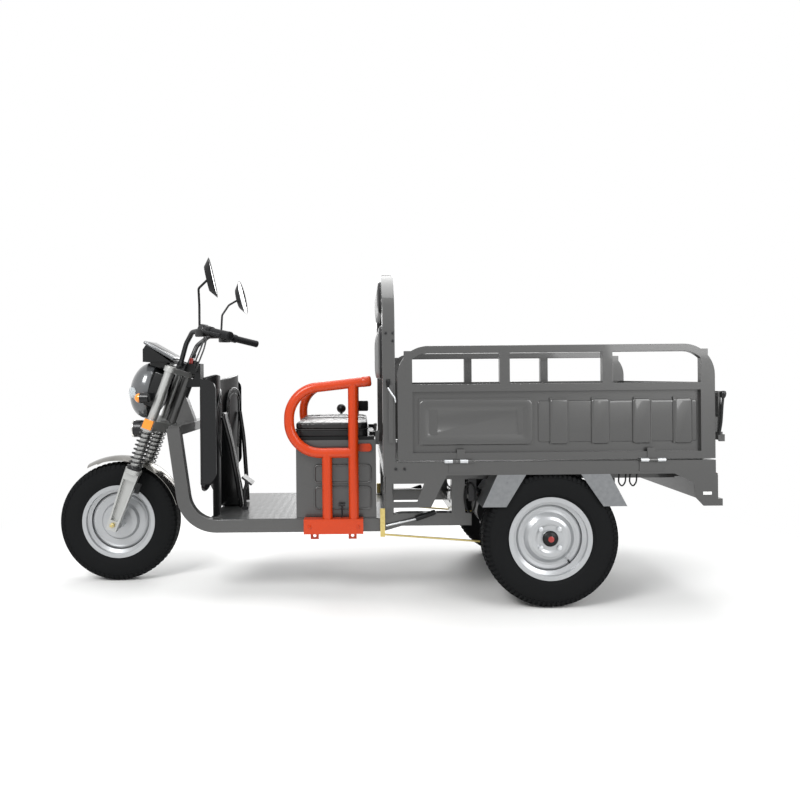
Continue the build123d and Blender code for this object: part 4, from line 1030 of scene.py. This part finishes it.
# %% Underside fittings
RELEASE_LINE = [(-108, 322, 396), (-108, 334, 396), (-108, 334, 342)]
DAMPER_SLEEVE = [(0.01, 0), (9, 1), (11, 6), (11, 82), (9, 88), (0.01, 89)]
OVAL_LINE = [
    (430 + 22 * math.cos(math.tau * k / 24), 330, 420 + 62 * math.sin(math.tau * k / 24))
    for k in range(24)
]
for side, word in SIDES:
    handle = sided_rod(RELEASE_LINE, side, 3.5, 5)
    bar = sided_rod([(-122, 335, 396), (-94, 335, 396)], side, 5, 5)
    settle(joined([handle, bar]), f"box_release_{word}", "chassis", black_enamel)
    oval = sided_rod(OVAL_LINE + OVAL_LINE[:1], side, 4, 3)
    settle(oval, f"bracket_cable_loop_{word}", "chassis", black_abs)
    link = sided_rod([(77, 326, 306), (208, 330, 336)], side, 4.5, 5)
    settle(link, f"damper_rod_{word}", "chassis", bright_zinc)
    sleeve = turned_piece(DAMPER_SLEEVE, 28, (200, side * 330, 334), (0.94, 0, 0.33))
    settle(sleeve, f"damper_sleeve_{word}", "chassis", black_abs)
    for k, (z_low, z_high) in enumerate(((376, 468), (487, 560))):
        corners = [(14, z_low), (14, z_high), (-221, z_high), (-221, z_low)]
        frame_line = [(-104, z_low), *corners, (-104, z_low)]
        raised = bent_rod([(x, side * 316.5, z) for x, z in frame_line], 3.4, 16, 5)
        settle(raised, f"seat_box_frame_{word}_{k + 1}", "chassis", grey_enamel)
    near, far = sorted((side * 313, side * 322))
    strap = rounded_slab((-40, near, 616), (20, far, 650), ALONG_Y, 14, 3)
    settle(strap, f"guard_strap_{word}", "chassis", orange_enamel)
    marker = block((1328, side * 481 - 1.5, 452), (1362, side * 481 + 1.5, 464), 1, 2)
    settle(marker, f"bumper_marker_{word}", "chassis", white_button)
print("hardware ready")

# %% [markdown]
# The studio is a white floor that fades into a white backdrop, with broad soft lamps.
# The camera sees pure white, while the lamps light the machine at a plain level.

# %% Floor, world and lamps
FADE_NEAR, FADE_FAR = 1.3, 2.6
ROOM_STRENGTH = 0.4

bpy.ops.mesh.primitive_plane_add(size=60, location=(0, 0, 0))
studio_floor = bpy.context.active_object
studio_floor.name = "studio_floor"
floor_paint, shader = new_finish("white_studio_floor", "#f4f4f2", 0.6)
grain(floor_paint, shader, 400.0, ("#f2f2f0", "#f6f6f5"), (0.5, 0.7), 0.0)
studio_floor.data.materials.append(floor_paint)

geometry = add_node(floor_paint, "ShaderNodeNewGeometry")
reach = add_node(
    floor_paint, "ShaderNodeVectorMath", {0: geometry.outputs["Position"]}, operation="LENGTH"
)
fade = add_node(
    floor_paint,
    "ShaderNodeMapRange",
    {"Value": reach.outputs["Value"], "From Min": FADE_NEAR, "From Max": FADE_FAR},
    interpolation_type="SMOOTHSTEP",
)
white = add_node(floor_paint, "ShaderNodeEmission", {"Color": (1, 1, 1, 1), "Strength": 1.0})


def seen_directly(owner):
    """One where a camera, glossy or transmission ray looks, for a material or the world."""
    rays = add_node(owner, "ShaderNodeLightPath")
    seen = rays.outputs["Is Camera Ray"]
    for ray in ("Is Glossy Ray", "Is Transmission Ray"):
        pair = {0: seen, 1: rays.outputs[ray]}
        seen = add_node(owner, "ShaderNodeMath", pair, operation="MAXIMUM").outputs[0]
    return seen


share = add_node(
    floor_paint,
    "ShaderNodeMath",
    {0: seen_directly(floor_paint), 1: fade.outputs["Result"]},
    operation="MULTIPLY",
)
seen_floor = add_node(
    floor_paint,
    "ShaderNodeMixShader",
    {"Fac": share.outputs[0], 1: shader.outputs["BSDF"], 2: white.outputs["Emission"]},
)
floor_output = floor_paint.node_tree.nodes["Material Output"]
floor_paint.node_tree.links.new(seen_floor.outputs["Shader"], floor_output.inputs["Surface"])
studio_floor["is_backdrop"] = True

world = bpy.data.worlds.new("white_studio")
scene.world = world
world.use_nodes = True
world.node_tree.nodes.clear()
room_light = add_node(
    world, "ShaderNodeBackground", {"Color": hex_colour("#f3f5f8"), "Strength": ROOM_STRENGTH}
)
white_seen = add_node(world, "ShaderNodeBackground", {"Color": (1, 1, 1, 1), "Strength": 1.0})
mix_seen = add_node(
    world,
    "ShaderNodeMixShader",
    {
        "Fac": seen_directly(world),
        1: room_light.outputs["Background"],
        2: white_seen.outputs["Background"],
    },
)
add_node(world, "ShaderNodeOutputWorld", {"Surface": mix_seen.outputs["Shader"]})


def soft_lamp(name, spot, aim, size, power):
    """A square area lamp at a spot, turned to face the aim point."""
    lamp_data = bpy.data.lights.new(name, "AREA")
    lamp_data.shape = "SQUARE"
    lamp_data.size = size
    lamp_data.energy = power
    lamp = bpy.data.objects.new(name, lamp_data)
    scene.collection.objects.link(lamp)
    lamp.location = spot
    lamp.rotation_euler = (Vector(aim) - Vector(spot)).to_track_quat("-Z", "Y").to_euler()
    return lamp


soft_lamp("key_lamp", (-2.2, -3.4, 3.6), (0, 0, 0.5), 1.8, 165)
soft_lamp("fill_lamp", (3.0, -3.2, 2.2), (0.3, 0, 0.5), 2.4, 80)
soft_lamp("top_lamp", (0.2, 0.3, 4.2), (0, 0, 0), 3.4, 130)
soft_lamp("back_lamp", (0.5, 3.6, 2.6), (0, 0, 0.6), 2.6, 90)

size_rows = [[round(v, 5) for v in cad_low], [round(v, 5) for v in cad_high]]
shown_low, shown_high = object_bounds()
size_rows += [[round(v, 5) for v in shown_low], [round(v, 5) for v in shown_high]]
